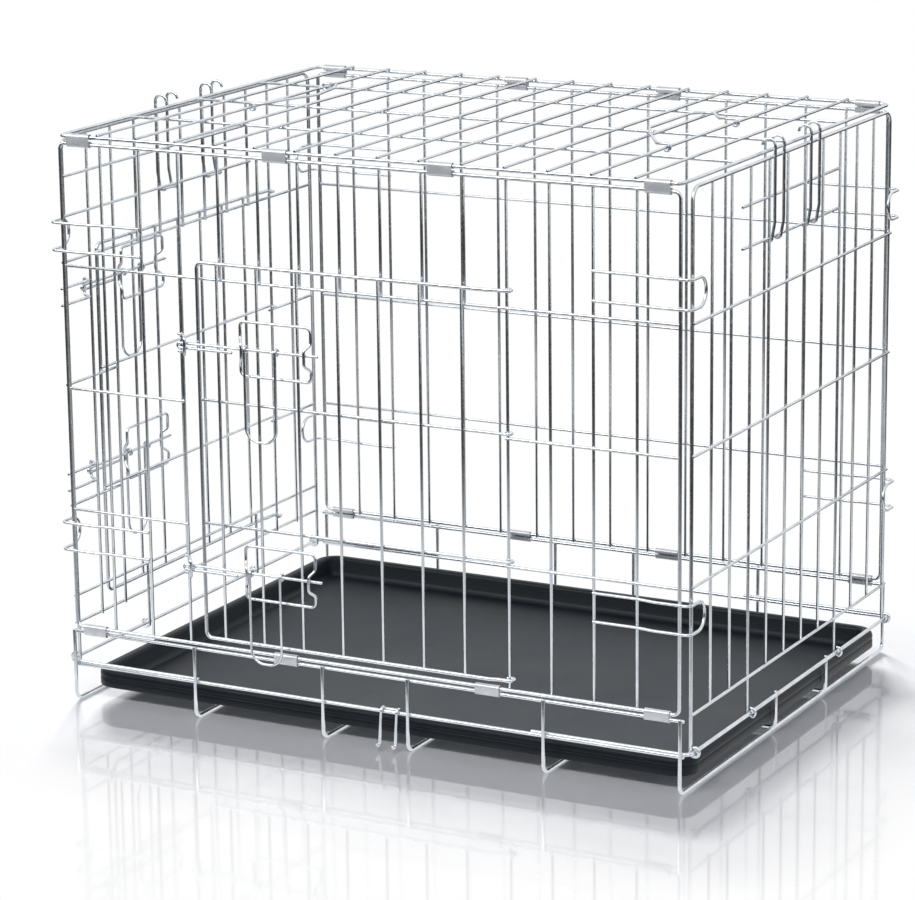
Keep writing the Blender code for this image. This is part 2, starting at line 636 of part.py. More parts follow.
def build_latch(collection, prefix, spot, facing, at):
    """Bolt, handle, guide and keeper of one rod latch."""
    z0 = at["height"]
    edge = at["edge"]
    other = "x" if facing == "y" else "y"

    # Bolt, doubled back at the end that enters the keeper
    tip = edge + BOLT_REACH
    path = [
        (tip - BOLT_LENGTH, BOLT_PLANE, z0),
        (tip, BOLT_PLANE, z0),
        (tip, BOLT_PLANE, z0 - HAIRPIN_SPACING),
        (tip - HAIRPIN_LENGTH, BOLT_PLANE, z0 - HAIRPIN_SPACING),
    ]
    points = [spot(p) for p in rounded(path, HAIRPIN_SPACING / 2)]
    origin = spot(Vector((tip - BOLT_LENGTH, BOLT_PLANE, z0)))
    welded(collection, prefix + "_bolt", [[wire(points, BOLT_WIRE, "z")]], ZINC, origin)

    # Handle, hung on the bolt by two eyes
    first = edge - HANDLE_START
    last = first - HANDLE_WIDTH
    eye = arc((0, BOLT_PLANE, z0), (0, 1, 0), (0, 0, 1), HANDLE_EYE, 0, HANDLE_EYE_SWEEP)
    low = z0 - HANDLE_DROP
    front = BOLT_PLANE + HANDLE_EYE
    hang = [(first, front, z0), (first, front, low), (last, front, low), (last, front, z0)]
    bend = rounded(hang, HANDLE_BEND)
    path = [Vector((first, p.y, p.z)) for p in reversed(eye)] + bend[1:-1]
    path += [Vector((last, p.y, p.z)) for p in eye]
    points = [spot(p) for p in path]
    origin = spot(Vector(((first + last) / 2, BOLT_PLANE, z0)))
    welded(collection, prefix + "_handle", [[wire(points, HANDLE_WIRE, other)]], ZINC, origin)

    # Guide, a closed loop whose two sides arch over the bolt
    outer = edge - GUIDE_START
    inner = outer - GUIDE_WIDTH
    half = GUIDE_HEIGHT / 2
    arch_top = R_BOLT + GUIDE_ARCH_ROOM
    arch_low = HAIRPIN_SPACING + arch_top
    foot_top = arch_top + GUIDE_ARCH_RUN
    foot_low = arch_low + GUIDE_ARCH_RUN
    pinch = GUIDE_ARCH_PINCH
    path = [
        (inner, GUIDE_PLANE, z0 + half),
        (outer, GUIDE_PLANE, z0 + half),
        (outer, GUIDE_PLANE, z0 + foot_top),
        (outer - pinch, ARCH_PLANE, z0 + arch_top),
        (outer - pinch, ARCH_PLANE, z0 - arch_low),
        (outer, GUIDE_PLANE, z0 - foot_low),
        (outer, GUIDE_PLANE, z0 - half),
        (inner, GUIDE_PLANE, z0 - half),
        (inner, GUIDE_PLANE, z0 - foot_low),
        (inner + pinch, ARCH_PLANE, z0 - arch_low),
        (inner + pinch, ARCH_PLANE, z0 + arch_top),
        (inner, GUIDE_PLANE, z0 + foot_top),
    ]
    points = [spot(p) for p in rounded(path, GUIDE_BEND, closed=True)]
    welded(collection, prefix + "_guide", [[wire(points, FILL_WIRE, facing, closed=True)]], ZINC)

    # Keeper, a loop that stands out from the post and passes in front of the bolt
    seat = at["post_face"] + SEAT_GAP + R_FILL
    post = at["post"]
    bar = post - KEEPER_REACH
    middle = z0 - HAIRPIN_SPACING / 2
    high = middle + KEEPER_HEIGHT / 2
    deep = middle - KEEPER_HEIGHT / 2
    path = [
        (at["tail"], seat, high),
        (post - KEEPER_RUN, seat, high),
        (bar, ARCH_PLANE, high),
        (bar, ARCH_PLANE, deep),
        (post - KEEPER_RUN, seat, deep),
        (at["tail"], seat, deep),
    ]
    points = [spot(p) for p in rounded(path, KEEPER_BEND)]
    welded(collection, prefix + "_keeper", [[wire(points, FILL_WIRE, "z")]], ZINC)


def build_tongues(collection):
    """Doubled wires at the ends of the long panels that turn round the end panels."""
    seat = UPRIGHT_PLANE + FILL_WIRE + SEAT_GAP
    past_post = HALF_DEPTH + R_FRAME + SEAT_GAP + R_FILL
    turn_x = END_PLANE + R_FRAME + TONGUE_CLEARANCE + R_FILL
    half = TONGUE_SPREAD / 2
    leg = [
        (HALF_LENGTH - TONGUE_LENGTH, seat),
        (HALF_LENGTH - 0.95 * PITCH, seat),
        (HALF_LENGTH - 0.55 * PITCH, past_post),
        (turn_x, past_post),
    ]
    for face, back in (("front", -1), ("back", 1)):
        for end, side in (("left", -1), ("right", 1)):
            for level, height in zip(("upper", "lower"), TONGUE_HEIGHTS):
                centre = (side * turn_x, back * (past_post - TONGUE_TURN + half), height)
                path = [(side * x, back * y, height + half) for x, y in leg]
                path += arc(centre, (0, -back, 0), (0, 0, 1), half, 90, -90)
                path += [(side * x, back * y, height - half) for x, y in reversed(leg)]
                name = "_".join((face, end, level, "tongue"))
                pivot = (0, back * HALF_DEPTH, PIVOT_HEIGHT)
                points = rounded(path, PANEL_CORNER)
                welded(collection, name, [[wire(points, FILL_WIRE, "z")]], ZINC, pivot)


def build_top_hooks(collection):
    """Sprung hooks that hang on the lower hook rail and reach over the end of the top."""
    leg_x = END_PLANE + R_FRAME + RUNNING_GAP + R_FILL
    ring = FILL_WIRE + 1.2 * RUNNING_GAP
    rail_x = END_HOOK_PLANE
    rail_z = HOOK_RAILS[0]
    for end, side in (("left", -1), ("right", 1)):
        for label, cell in zip(("front", "back"), HOOK_CELLS):
            start = grid_y(cell) + HOOK_OFFSET
            centre = (side * (leg_x - HOOK_ARC), 0, HOOK_TIP_HEIGHT)
            over = arc(centre, (side, 0, 0), (0, 0, 1), HOOK_ARC, 180, 0)
            under = arc((side * rail_x, 0, rail_z), (side, 0, 0), (0, 0, 1), ring, 0, -HOOK_HEEL_SWEEP)
            leg = over + [Vector((side * leg_x, 0, rail_z + HOOK_HEEL))] + under
            near = [Vector((p.x, start, p.z)) for p in leg]
            far = [Vector((p.x, start + HOOK_WIDTH, p.z)) for p in reversed(leg)]
            name = "_".join((end, label, "top_hook"))
            pivot = (side * rail_x, start + HOOK_WIDTH / 2, rail_z)
            welded(collection, name, [[wire(near + far, FILL_WIRE, "x")]], ZINC, pivot)


def build_bails(collection):
    """Two bent handles that lie on the top panel and turn on one of its transverse wires."""
    pivot_z = TOP_HEIGHT + FRAME_TO_FILL
    lying = pivot_z + R_FILL + SEAT_GAP + BAIL_WIRE / 2
    ring = (FILL_WIRE + BAIL_WIRE) / 2 + 1.2 * RUNNING_GAP
    shapes = {
        "right_bail": (RIGHT_BAIL_WIRE, 1, RIGHT_BAIL),
        "left_bail": (LEFT_BAIL_WIRE, -1, LEFT_BAIL),
    }
    for name, (index, side, outline) in shapes.items():
        x = grid_x(index)
        tail = arc((x, 0, pivot_z), (-side, 0, 0), (0, 0, 1), ring, RING_START, RING_END)
        first = outline[0][0]
        last = outline[-1][0]
        path = [Vector((p.x, first, p.z)) for p in reversed(tail)]
        body = [(x + side * offset, y, lying) for y, offset in outline]
        path += rounded(body, BAIL_BEND)
        path += [Vector((p.x, last, p.z)) for p in tail]
        pivot = (x, (first + last) / 2, pivot_z)
        welded(collection, name, [[wire(path, BAIL_WIRE, "x")]], ZINC, pivot)


def build_closure_hook(collection):
    """Doubled hook that hangs on the front lower rail and swings up over the folded crate."""
    ring = R_FRAME + R_FILL + RUNNING_GAP + 0.1
    turn = arc((0, -HALF_DEPTH, RIM_HEIGHT), (0, -1, 0), (0, 0, 1), ring, 0, CLOSURE_SWEEP)
    low = RIM_HEIGHT - CLOSURE_DROP
    out = -HALF_DEPTH - ring - CLOSURE_LEAN
    curl = arc((0, out - CLOSURE_CURL, low + CLOSURE_CURL_LIFT), (0, 1, 0), (0, 0, 1), CLOSURE_CURL, -180, 0)
    leg = curl + turn
    first = [Vector((CLOSURE_START, p.y, p.z)) for p in leg]
    last = [Vector((CLOSURE_START + CLOSURE_WIDTH, p.y, p.z)) for p in reversed(leg)]
    pivot = (CLOSURE_START + CLOSURE_WIDTH / 2, -HALF_DEPTH, RIM_HEIGHT)
    welded(collection, "closure_hook", [[wire(first + last, FILL_WIRE, "y")]], ZINC, pivot)


def stadium(radius, half_span, slit, steps):
    """Half-width and height pairs round an upright oval, open by a slit on its inner side."""
    points = [(radius, -slit / 2)]
    for step in range(steps + 1):
        angle = -math.pi * step / steps
        points.append((radius * math.cos(angle), -half_span + radius * math.sin(angle)))
    for step in range(steps + 1):
        angle = math.pi - math.pi * step / steps
        points.append((radius * math.cos(angle), half_span + radius * math.sin(angle)))
    points.append((radius, slit / 2))
    return points


def build_clip(collection, name, x, y, rails):
    """A rolled strip round two stacked rails, open along its inner side."""
    inside = R_FRAME + CLIP_PLAY
    low_rail, spacing = rails
    half = spacing / 2
    inner = stadium(inside, half, CLIP_SLIT, CLIP_STEPS)
    outer = stadium(inside + CLIP_WALL, half, CLIP_SLIT, CLIP_STEPS)
    profile = outer + list(reversed(inner))
    inward = -1 if y > 0 else 1
    work = bmesh.new()
    rings = []
    for end in (-CLIP_LENGTH / 2, CLIP_LENGTH / 2):
        ring = [
            work.verts.new(Vector((x + end, y + inward * a, low_rail + half + b)) * METRES)
            for a, b in profile
        ]
        rings.append(ring)
    count = len(outer)
    total = len(profile)
    for index in range(total):
        after = (index + 1) % total
        work.faces.new((rings[0][index], rings[0][after], rings[1][after], rings[1][index]))
    for ring in rings:
        for index in range(count - 1):
            mate = total - 1 - index
            work.faces.new((ring[index], ring[index + 1], ring[mate - 1], ring[mate]))
    bmesh.ops.recalc_face_normals(work, faces=work.faces)
    mesh = bpy.data.meshes.new(name)
    work.to_mesh(mesh)
    work.free()
    place(collection, name, mesh, CLIP_ZINC, (x, y, low_rail + half))


def build_clips(collection):
    rows = (
        ("base_front_clip", -HALF_DEPTH, (BASE_RAIL, BASE_RAIL_SPACING), FRONT_BASE_CLIP_CELLS),
        ("base_back_clip", HALF_DEPTH, (BASE_RAIL, BASE_RAIL_SPACING), BACK_BASE_CLIP_CELLS),
        ("top_front_clip", -HALF_DEPTH, (PANEL_TOP, TOP_RAIL_SPACING), TOP_CLIP_CELLS),
        ("top_back_clip", HALF_DEPTH, (PANEL_TOP, TOP_RAIL_SPACING), TOP_CLIP_CELLS),
    )
    for label, y, rails, cells in rows:
        for number, cell in enumerate(cells, start=1):
            build_clip(collection, f"{label}_{number}", grid_x(cell + 0.5), y, rails)


def tray_ring(work, inset, height):
    """One rounded rectangle of the tray, its corners tightening as it moves in."""
    middle = (TRAY_RIGHT + TRAY_LEFT) / 2
    half_x = (TRAY_RIGHT - TRAY_LEFT) / 2 - inset
    half_y = TRAY_WIDTH / 2 - inset
    radius = max(TRAY_CORNER - inset, 3.0)
    points = []
    for quarter, (sx, sy) in enumerate(((1, 1), (-1, 1), (-1, -1), (1, -1))):
        centre = (middle + sx * (half_x - radius), sy * (half_y - radius))
        for step in range(TRAY_CORNER_STEPS + 1):
            angle = math.pi / 2 * (quarter + step / TRAY_CORNER_STEPS)
            x = centre[0] + radius * math.cos(angle)
            y = centre[1] + radius * math.sin(angle)
            points.append(work.verts.new(Vector((x, y, height)) * METRES))
    return points


def build_tray(collection):
    bottom = FLOOR_WIRE_HEIGHT + R_FRAME + SEAT_GAP
    lip_low = TRAY_TOP - TRAY_LIP_DROP
    groove = TRAY_TOP - TRAY_GROOVE_DROP
    wall = TRAY_LIP_WIDTH
    skin = TRAY_LIP_SKIN
    profile = [
        (wall + 5.0, bottom),
        (wall + 2.0, bottom + 1.2),
        (wall + 1.0, bottom + 4.0),
        (wall - skin, TRAY_TOP - skin - 0.6),
        (skin, TRAY_TOP - skin - 0.6),
        (skin, lip_low),
        (0.0, lip_low),
        (0.0, groove - TRAY_GROOVE_HALF),
        (TRAY_GROOVE_DEPTH, groove),
        (0.0, groove + TRAY_GROOVE_HALF),
        (0.0, TRAY_TOP - 4.0),
        (1.2, TRAY_TOP - 1.2),
        (4.0, TRAY_TOP),
        (wall - 2.0, TRAY_TOP),
        (wall, TRAY_TOP - 1.8),
        (wall + 3.5, bottom + TRAY_FLOOR + 3.5),
        (wall + 7.0, bottom + TRAY_FLOOR),
    ]
    work = bmesh.new()
    rings = [tray_ring(work, inset, height) for inset, height in profile]
    for lower, upper in zip(rings, rings[1:]):
        count = len(lower)
        for index in range(count):
            after = (index + 1) % count
            work.faces.new((lower[index], lower[after], upper[after], upper[index]))
    work.faces.new(list(reversed(rings[0])))
    work.faces.new(rings[-1])
    bmesh.ops.recalc_face_normals(work, faces=work.faces)
    mesh = bpy.data.meshes.new("tray")
    work.to_mesh(mesh)
    work.free()
    obj = place(collection, "tray", mesh, BLACK_PLASTIC)
    obj.data.set_sharp_from_angle(angle=math.radians(50))


def main():
    clear_scene()
    crate = make_collection("folding_wire_dog_crate")
    build_base(crate)
    build_front_panel(crate)
    build_back_panel(crate)
    build_top_panel(crate)
    build_end_panel(crate, "left_end_panel", -1, True)
    build_end_panel(crate, "right_end_panel", 1, False)
    build_front_door(crate)
    build_left_door(crate)
    build_tongues(crate)
    build_top_hooks(crate)
    build_bails(crate)
    build_closure_hook(crate)
    build_clips(crate)
    build_tray(crate)


main()
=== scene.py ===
"""Looks for the folding wire dog crate: round welded wire, rolled clips and a grained tray.

Sizes are in millimetres, as in the part, and METRES scales them to the scene.
"""

import json
import math

import bmesh
import bpy
from mathutils import Matrix, Vector

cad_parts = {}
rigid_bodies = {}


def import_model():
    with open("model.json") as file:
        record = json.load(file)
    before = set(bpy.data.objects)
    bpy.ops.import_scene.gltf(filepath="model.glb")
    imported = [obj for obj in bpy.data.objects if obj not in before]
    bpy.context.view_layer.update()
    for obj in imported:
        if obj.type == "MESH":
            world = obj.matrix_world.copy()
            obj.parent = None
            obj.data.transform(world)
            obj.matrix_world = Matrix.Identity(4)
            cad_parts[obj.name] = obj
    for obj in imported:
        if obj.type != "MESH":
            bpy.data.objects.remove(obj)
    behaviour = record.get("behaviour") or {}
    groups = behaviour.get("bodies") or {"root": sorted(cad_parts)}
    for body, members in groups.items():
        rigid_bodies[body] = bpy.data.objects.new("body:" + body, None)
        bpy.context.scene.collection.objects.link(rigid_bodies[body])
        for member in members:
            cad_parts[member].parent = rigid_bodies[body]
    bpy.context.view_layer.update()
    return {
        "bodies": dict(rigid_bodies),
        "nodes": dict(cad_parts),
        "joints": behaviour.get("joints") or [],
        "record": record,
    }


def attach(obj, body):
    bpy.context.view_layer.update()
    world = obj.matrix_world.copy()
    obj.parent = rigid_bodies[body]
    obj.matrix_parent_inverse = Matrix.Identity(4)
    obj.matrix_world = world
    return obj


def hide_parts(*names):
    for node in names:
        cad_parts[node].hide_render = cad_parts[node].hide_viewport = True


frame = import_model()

METRES = 0.001
BODY_OF = {
    node: body
    for body, nodes in frame["record"]["behaviour"]["bodies"].items()
    for node in nodes
}

# Camera, solved from the photograph: focal length in pixels, turn and shift in millimetres
FOCAL_PIXELS = 3698.88
PHOTO_WIDTH = 915.0
SENSOR = 36.0
TURN = Vector((1.77977572, 0.432568653, -0.353161023))
SHIFT = Vector((28.0291454, 216.636721, 3566.77907))

# Wires and fits
FRAME_WIRE = 3.4
FILL_WIRE = 2.7
BOLT_WIRE = 2.7
HANDLE_WIRE = 2.4
BAIL_WIRE = 2.7
WELD_DEPTH = 0.5
FRAME_WELD_DEPTH = 0.65
OVERHANG = 1.5
SEAT_GAP = 0.3
RUNNING_GAP = 0.35
ARC_STEP = 15.0

# Open rings that turn on a wire: where they start and end, in degrees
RING_START = 90.0
RING_END = 330.0

# Long panels
PANEL_LENGTH = 622.0
PANEL_PITCHES = 15
CRATE_DEPTH = 472.0
PIVOT_HEIGHT = 73.0
PANEL_TOP = 533.0
LOWEST_CROSS = 187.0
CROSS_PITCH = 116.0
PANEL_CORNER = 6.0
BASE_RAIL_SPACING = 5.0
TOP_RAIL_SPACING = 6.8

# Base
FOOT_POSITIONS = (44.0, 180.5)
END_FOOT_PAST_PANEL = 2.0
FOOT_CORNER = 8.0
FOOT_OVERHANG = 0.6
RAIL_OVERHANG = 2.7
RIM_HEIGHT = 35.6
RIM_PAST_PANEL = 10.0
RIM_CORNER = 8.0
LEFT_RETURN = 143.0
RIGHT_RETURN = 154.0
FLOOR_WIRES = (-39.0, 81.0)

# End panels
END_SIDE_GAP = 0.9
END_PITCHES = 11
END_TOP_RISE = 2.5
END_CORNER = 12.0
END_FOOT_RAIL = 72.0
EYE_LEGS = (3, 8)
EYE_RADIUS = 4.0
EYE_SWEEP = 282.0
HOOK_RAIL_DROPS = (72.5, 35.5)
HOOK_RAIL_LAST = 8
LEFT_HOOK_RAIL_FIRST = 0
RIGHT_HOOK_RAIL_FIRST = 3
RIGHT_HOOK_RAIL_TAIL = 13.0

# Doors, their posts and edges counted in pitches of the panel they hang on
FRONT_DOOR_HINGE = 11
FRONT_DOOR_FIRST = 4
FRONT_DOOR_EDGE = 3.5
FRONT_KEEPER_POST = 3
FRONT_DOOR_LIFT = 9.0
FRONT_DOOR_TOP = 434.5
LEFT_DOOR_HINGE = 9
LEFT_DOOR_FIRST = 3
LEFT_DOOR_EDGE = 1.5
LEFT_OPENING_POST = 2
LEFT_KEEPER_POST = 1
LEFT_DOOR_SILL = 98.5
LEFT_DOOR_LIFT = 15.0
LEFT_DOOR_TOP = 425.5
DOOR_CORNER = 6.0
DOOR_RAIL_LIFT = 4.0
DOOR_STANDOFF = 0.65
DOOR_RING_PLAY = 0.84
DOOR_ARM = 18.0
DOOR_ARM_BEND = 9.0

# Latches
FRONT_LATCHES = (360.0, 151.0)
LEFT_LATCHES = (388.5, 211.5)
GUIDE_START = 46.0
GUIDE_WIDTH = 73.0
GUIDE_HEIGHT = 50.0
GUIDE_ARCH_ROOM = 3.5
GUIDE_ARCH_RUN = 5.0
GUIDE_ARCH_PINCH = 4.0
GUIDE_BEND = 5.0
BOLT_REACH = 18.5
BOLT_LENGTH = 146.0
HAIRPIN_LENGTH = 57.0
HAIRPIN_SPACING = 4.4
HANDLE_START = 53.0
HANDLE_WIDTH = 32.0
HANDLE_DROP = 84.0
HANDLE_BEND = 13.4
HANDLE_EYE_SWEEP = 262.0
KEEPER_HEIGHT = 16.0
KEEPER_REACH = 11.0
KEEPER_RUN = 2.0
KEEPER_TAIL = 3.0
KEEPER_BEND = 3.0

# Tongues
TONGUE_LENGTH = 83.0
TONGUE_HEIGHTS = (446.0, 160.5)
TONGUE_SPREAD = 26.0
TONGUE_TURN = 30.0
TONGUE_CLEARANCE = 2.5

# Top hooks
HOOK_CELLS = (4, 6)
HOOK_WIDTH = 20.0
HOOK_OFFSET = 3.9
HOOK_RISE = 5.8
HOOK_ARC = 6.0
HOOK_HEEL = 14.0
HOOK_HEEL_SWEEP = 150.0

# Bails: the upright of the top they turn on, and their outlines as (y, distance from it)
RIGHT_BAIL_WIRE = 13
LEFT_BAIL_WIRE = 2
BAIL_BEND = 10.0
RIGHT_BAIL = [(66.0, -16.0), (97.0, -36.0), (80.0, -52.0), (-8.0, -52.0), (-30.0, -42.0), (-84.0, -10.0)]
LEFT_BAIL = [(-31.0, -10.0), (1.0, -16.0), (41.0, -29.0), (86.0, -22.0), (108.0, -12.0)]

# Closure hook
CLOSURE_START = 17.0
CLOSURE_WIDTH = 16.0
CLOSURE_DROP = 29.0
CLOSURE_LEAN = 3.4
CLOSURE_CURL = 2.5
CLOSURE_CURL_LIFT = 1.5
CLOSURE_SWEEP = 150.0
CLOSURE_PLAY = 0.1

# Clips
CLIP_LENGTH = 24.0
CLIP_WALL = 0.9
CLIP_SLIT = 1.6
CLIP_PLAY = 0.39
TOP_CLIP_CELLS = (0, 5, 9, 14)
FRONT_BASE_CLIP_CELLS = (0, 5, 10, 14)
BACK_BASE_CLIP_CELLS = (0, 5, 9, 14)

# Tray
TRAY_SIDE_PLAY = 11.0
TRAY_LEFT_PLAY = 12.0
TRAY_STOP_GAP = 1.0
TRAY_FLOOR = 2.5
TRAY_TOP = 28.0
TRAY_LIP_DROP = 16.0
TRAY_LIP_WIDTH = 11.0
TRAY_LIP_SKIN = 2.5
TRAY_GROOVE_DROP = 7.5
TRAY_GROOVE_HALF = 0.9
TRAY_GROOVE_DEPTH = 1.0
TRAY_CORNER = 22.0

# Round bars: how finely they are drawn, the most of a straight that a bend takes, how cut ends
# are eased, as shares of the wire, and the angle in degrees from which an edge is sharp
BAR_STEPS = 4
BEND_SHARE = 0.48
STEP_SLACK = 0.01
EASE_RUN = 0.16
EASE_MIDDLE = 0.4
EASE_TIP = 0.72
EASE_SHOULDER = 0.92
BAR_SHARP = 60.0

# Welds: how deep two wires press together, how far apart two beads of one pair stay, the least
# distance of the axes that turns a bead, and how near to parallel two wires don't cross
WELD_PRESS = 0.2
WELD_SPACING = 3.0
WELD_LEAST_REACH = 0.3
PARALLEL = 1e-6

# Beads: length by the wire's radius, width and depth by that length; the first two have a middle,
# how much it varies and how fast from weld to weld
BEAD_STEPS = 2
BEAD_LENGTH = (1.12, 0.10, 2.3)
BEAD_WIDTH = (0.94, 0.08, 1.7)
BEAD_DEPTH = 0.74

# Where a tongue turns out past the corner post, in pitches from it
TONGUE_BEND_START = 0.95
TONGUE_BEND_END = 0.55

# Rolled clips: eased edges, a shallow waist and a fine profile
CLIP_EASE = 0.28
CLIP_SHOULDER = 2.2
CLIP_WAIST = 0.10
CLIP_ARC_STEPS = 12
CLIP_SHARP = 40.0

# Rounded stretches of the tray's section, as (inset, height) steps from their own corners
TRAY_HEEL = [(5.0, 0.0), (3.0, 0.4), (2.0, 1.4), (1.0, 4.0)]
TRAY_LIP_ROOF = [(0.0, -0.6)]
TRAY_LIP_BEND = [(1.0, -0.6), (0.0, -2.0)]
TRAY_LIP_INSIDE = [(0.0, 0.3), (-0.3, 0.0)]
TRAY_LIP_OUTSIDE = [(0.5, 0.0), (0.0, 0.6)]
TRAY_SHOULDER = [(0.0, -5.0), (0.3, -3.2), (1.1, -1.5), (2.4, -0.4), (4.0, 0.0)]
TRAY_INNER_SHOULDER = [(-3.0, 0.0), (-1.6, -0.4), (-0.5, -1.4), (0.0, -3.0)]
TRAY_DISH = [(3.0, 5.0), (4.0, 2.4), (5.6, 0.8), (8.0, 0.0)]
TRAY_GROOVE_EASE = 0.5
TRAY_GROOVE_STEP = 0.25
TRAY_LEAST_CORNER = 3.0
TRAY_ARC_STEPS = 12
TRAY_SHARP = 42.0

# Studio, in metres, with colours and strengths as shares of white
WORLD_LIGHT = 0.13
WORLD_TINT = (0.88, 0.92, 1.16, 1.0)
STUDIO_DARK = 0.04
BEHIND_FADE = (-0.30, 0.30)
ABOVE_FADE = (0.20, 0.60)
FLOOR_HALF = 6.0
FLOOR_TONE = (0.92, 0.92, 0.93)
FLOOR_LIFT = 0.02
SHADOW_MIDDLE = (0.035, -0.05, 0.0)
SHADOW_HALF = (0.30, 0.23, 0.0)
FLOOR_FADE = (0.03, 0.20)
MIRROR_FADE = (0.45, 1.20)
GLOSS_FADE = (0.15, 0.75)
FLOOR_GLOSS = 0.20
FLOOR_POLISH = 0.05
LAMP_AIM = Vector((0.0, 0.0, 0.25))
VIEW_END = 100.0
WHITE = (1.0, 1.0, 1.0, 1.0)

# Materials: noise scales per metre, the ranges that noise is spread from, and a Mix node's sockets
MIX_FIRST = 6
MIX_SECOND = 7
MIX_RESULT = 2
CLOUD_RANGE = (0.35, 0.65)
GRAIN_RANGE = (0.3, 0.7)
PLATING_SCALE = 60.0
SPECK_SCALE = 700.0
DULL_SCALE = 200.0
STAIN_SHARE = (0.25, 0.75)
WELD_STAIN = (0.42, 0.41, 0.40)
METAL_BUMP = 0.08
DUST_SCALE = 9.0
PEBBLE_SCALE = 620.0
FINE_SCALE = 1400.0
PLASTIC_DARK = (0.003, 0.008, 0.013)
PLASTIC_DUSTY = (0.009, 0.015, 0.022)
PLASTIC_ROUGHNESS = (0.36, 0.46)
PLASTIC_IOR = 1.5
PLASTIC_SPECULAR = 0.22
PLASTIC_BUMP = 0.35
PEBBLE_DEPTH = 0.00025

# Derived positions
R_FRAME = FRAME_WIRE / 2
R_FILL = FILL_WIRE / 2
R_BOLT = BOLT_WIRE / 2
R_HANDLE = HANDLE_WIRE / 2
HALF_LENGTH = PANEL_LENGTH / 2
HALF_DEPTH = CRATE_DEPTH / 2
PITCH = PANEL_LENGTH / PANEL_PITCHES
CROSS_HEIGHTS = [LOWEST_CROSS + CROSS_PITCH * i for i in range(3)]
DOOR_HEAD = CROSS_HEIGHTS[-1]
BASE_RAIL = PIVOT_HEIGHT - BASE_RAIL_SPACING
TOP_HEIGHT = PANEL_TOP + TOP_RAIL_SPACING
TOP_LONG_OFFSET = HALF_DEPTH / 2
FRAME_TO_FRAME = FRAME_WIRE - WELD_DEPTH
FRAME_TO_FILL = R_FRAME + R_FILL - FRAME_WELD_DEPTH
FILL_TO_FILL = FILL_WIRE - WELD_DEPTH
UPRIGHT_PLANE = HALF_DEPTH - FRAME_TO_FILL
CROSS_PLANE = UPRIGHT_PLANE + FILL_TO_FILL
FOOT_PLANE = HALF_DEPTH + FRAME_TO_FRAME
FLOOR_RUN = R_FRAME
FLOOR_WIRE_HEIGHT = FLOOR_RUN + FRAME_TO_FRAME
END_FOOT_POSITION = HALF_LENGTH + END_FOOT_PAST_PANEL
END_RIM_REACH = HALF_LENGTH + RIM_PAST_PANEL
END_RIM_HEIGHT = RIM_HEIGHT + FRAME_WIRE * math.cos(math.pi / 6) - WELD_DEPTH
RISER = END_RIM_REACH - FRAME_TO_FRAME
DOOR_RING = R_FRAME + R_FILL + DOOR_RING_PLAY
RING_PLAY = 1.2 * RUNNING_GAP
END_HALF_WIDTH = UPRIGHT_PLANE - DOOR_RING - FRAME_WIRE - END_SIDE_GAP
END_PITCH = 2 * END_HALF_WIDTH / END_PITCHES
END_TOP = PANEL_TOP + END_TOP_RISE
HOOK_RAILS = [END_TOP - drop for drop in HOOK_RAIL_DROPS]
HOOK_TIP_HEIGHT = TOP_HEIGHT + HOOK_RISE
END_PLANE = END_RIM_REACH - EYE_RADIUS
END_CROSS_PLANE = END_PLANE + FILL_TO_FILL
END_HOOK_PLANE = END_PLANE - FILL_TO_FILL
DOOR_CROSS_INSET = FILL_TO_FILL
FRONT_DOOR_PLANE = CROSS_PLANE + R_FILL + R_FRAME + DOOR_STANDOFF
LEFT_DOOR_PLANE = END_CROSS_PLANE + R_FILL + R_FRAME + DOOR_STANDOFF
GUIDE_PLANE = FILL_WIRE + SEAT_GAP
BOLT_PLANE = R_FILL + SEAT_GAP + HANDLE_WIRE + RUNNING_GAP + R_BOLT
HANDLE_EYE = R_BOLT + RUNNING_GAP + R_HANDLE
ARCH_PLANE = BOLT_PLANE + R_BOLT + RUNNING_GAP + R_FILL
TRAY_LEFT = -END_PLANE + TRAY_LEFT_PLAY
TRAY_RIGHT = RISER - R_FRAME - TRAY_STOP_GAP
TRAY_WIDTH = CRATE_DEPTH - 2 * TRAY_SIDE_PLAY


def grid_x(index):
    """Position of one upright of a long panel."""
    return -HALF_LENGTH + PITCH * index


def grid_y(index):
    """Position of one upright of an end panel."""
    return -END_HALF_WIDTH + END_PITCH * index


def rounded(points, radius, closed=False):
    """The same path with each corner swapped for a few short chords that keep to the bend."""
    path = [Vector(p) for p in points]
    count = len(path)
    result = []
    for index, corner in enumerate(path):
        inside = closed or 0 < index < count - 1
        if not inside or radius <= 0:
            result.append(corner)
            continue
        back = path[index - 1] - corner
        ahead = path[(index + 1) % count] - corner
        opening = back.angle(ahead)
        turn = math.pi - opening
        steps = max(1, math.ceil(math.degrees(turn) / ARC_STEP - STEP_SLACK))
        if steps == 1:
            result.append(corner)
            continue
        longest = min(BEND_SHARE * back.length, BEND_SHARE * ahead.length)
        reach = min(radius / math.tan(opening / 2), longest)
        true_radius = reach * math.tan(opening / 2)
        middle = (back.normalized() + ahead.normalized()).normalized()
        centre = corner + middle * (true_radius / math.sin(opening / 2))
        start = (corner + back.normalized() * reach - centre).normalized()
        end = (corner + ahead.normalized() * reach - centre).normalized()
        chord_radius = true_radius / math.cos(turn / steps / 2)
        for step in range(steps):
            spoke = start.slerp(end, (2 * step + 1) / (2 * steps)).normalized()
            result.append(centre + spoke * chord_radius)
    return result[-1:] + result[:-1] if closed else result


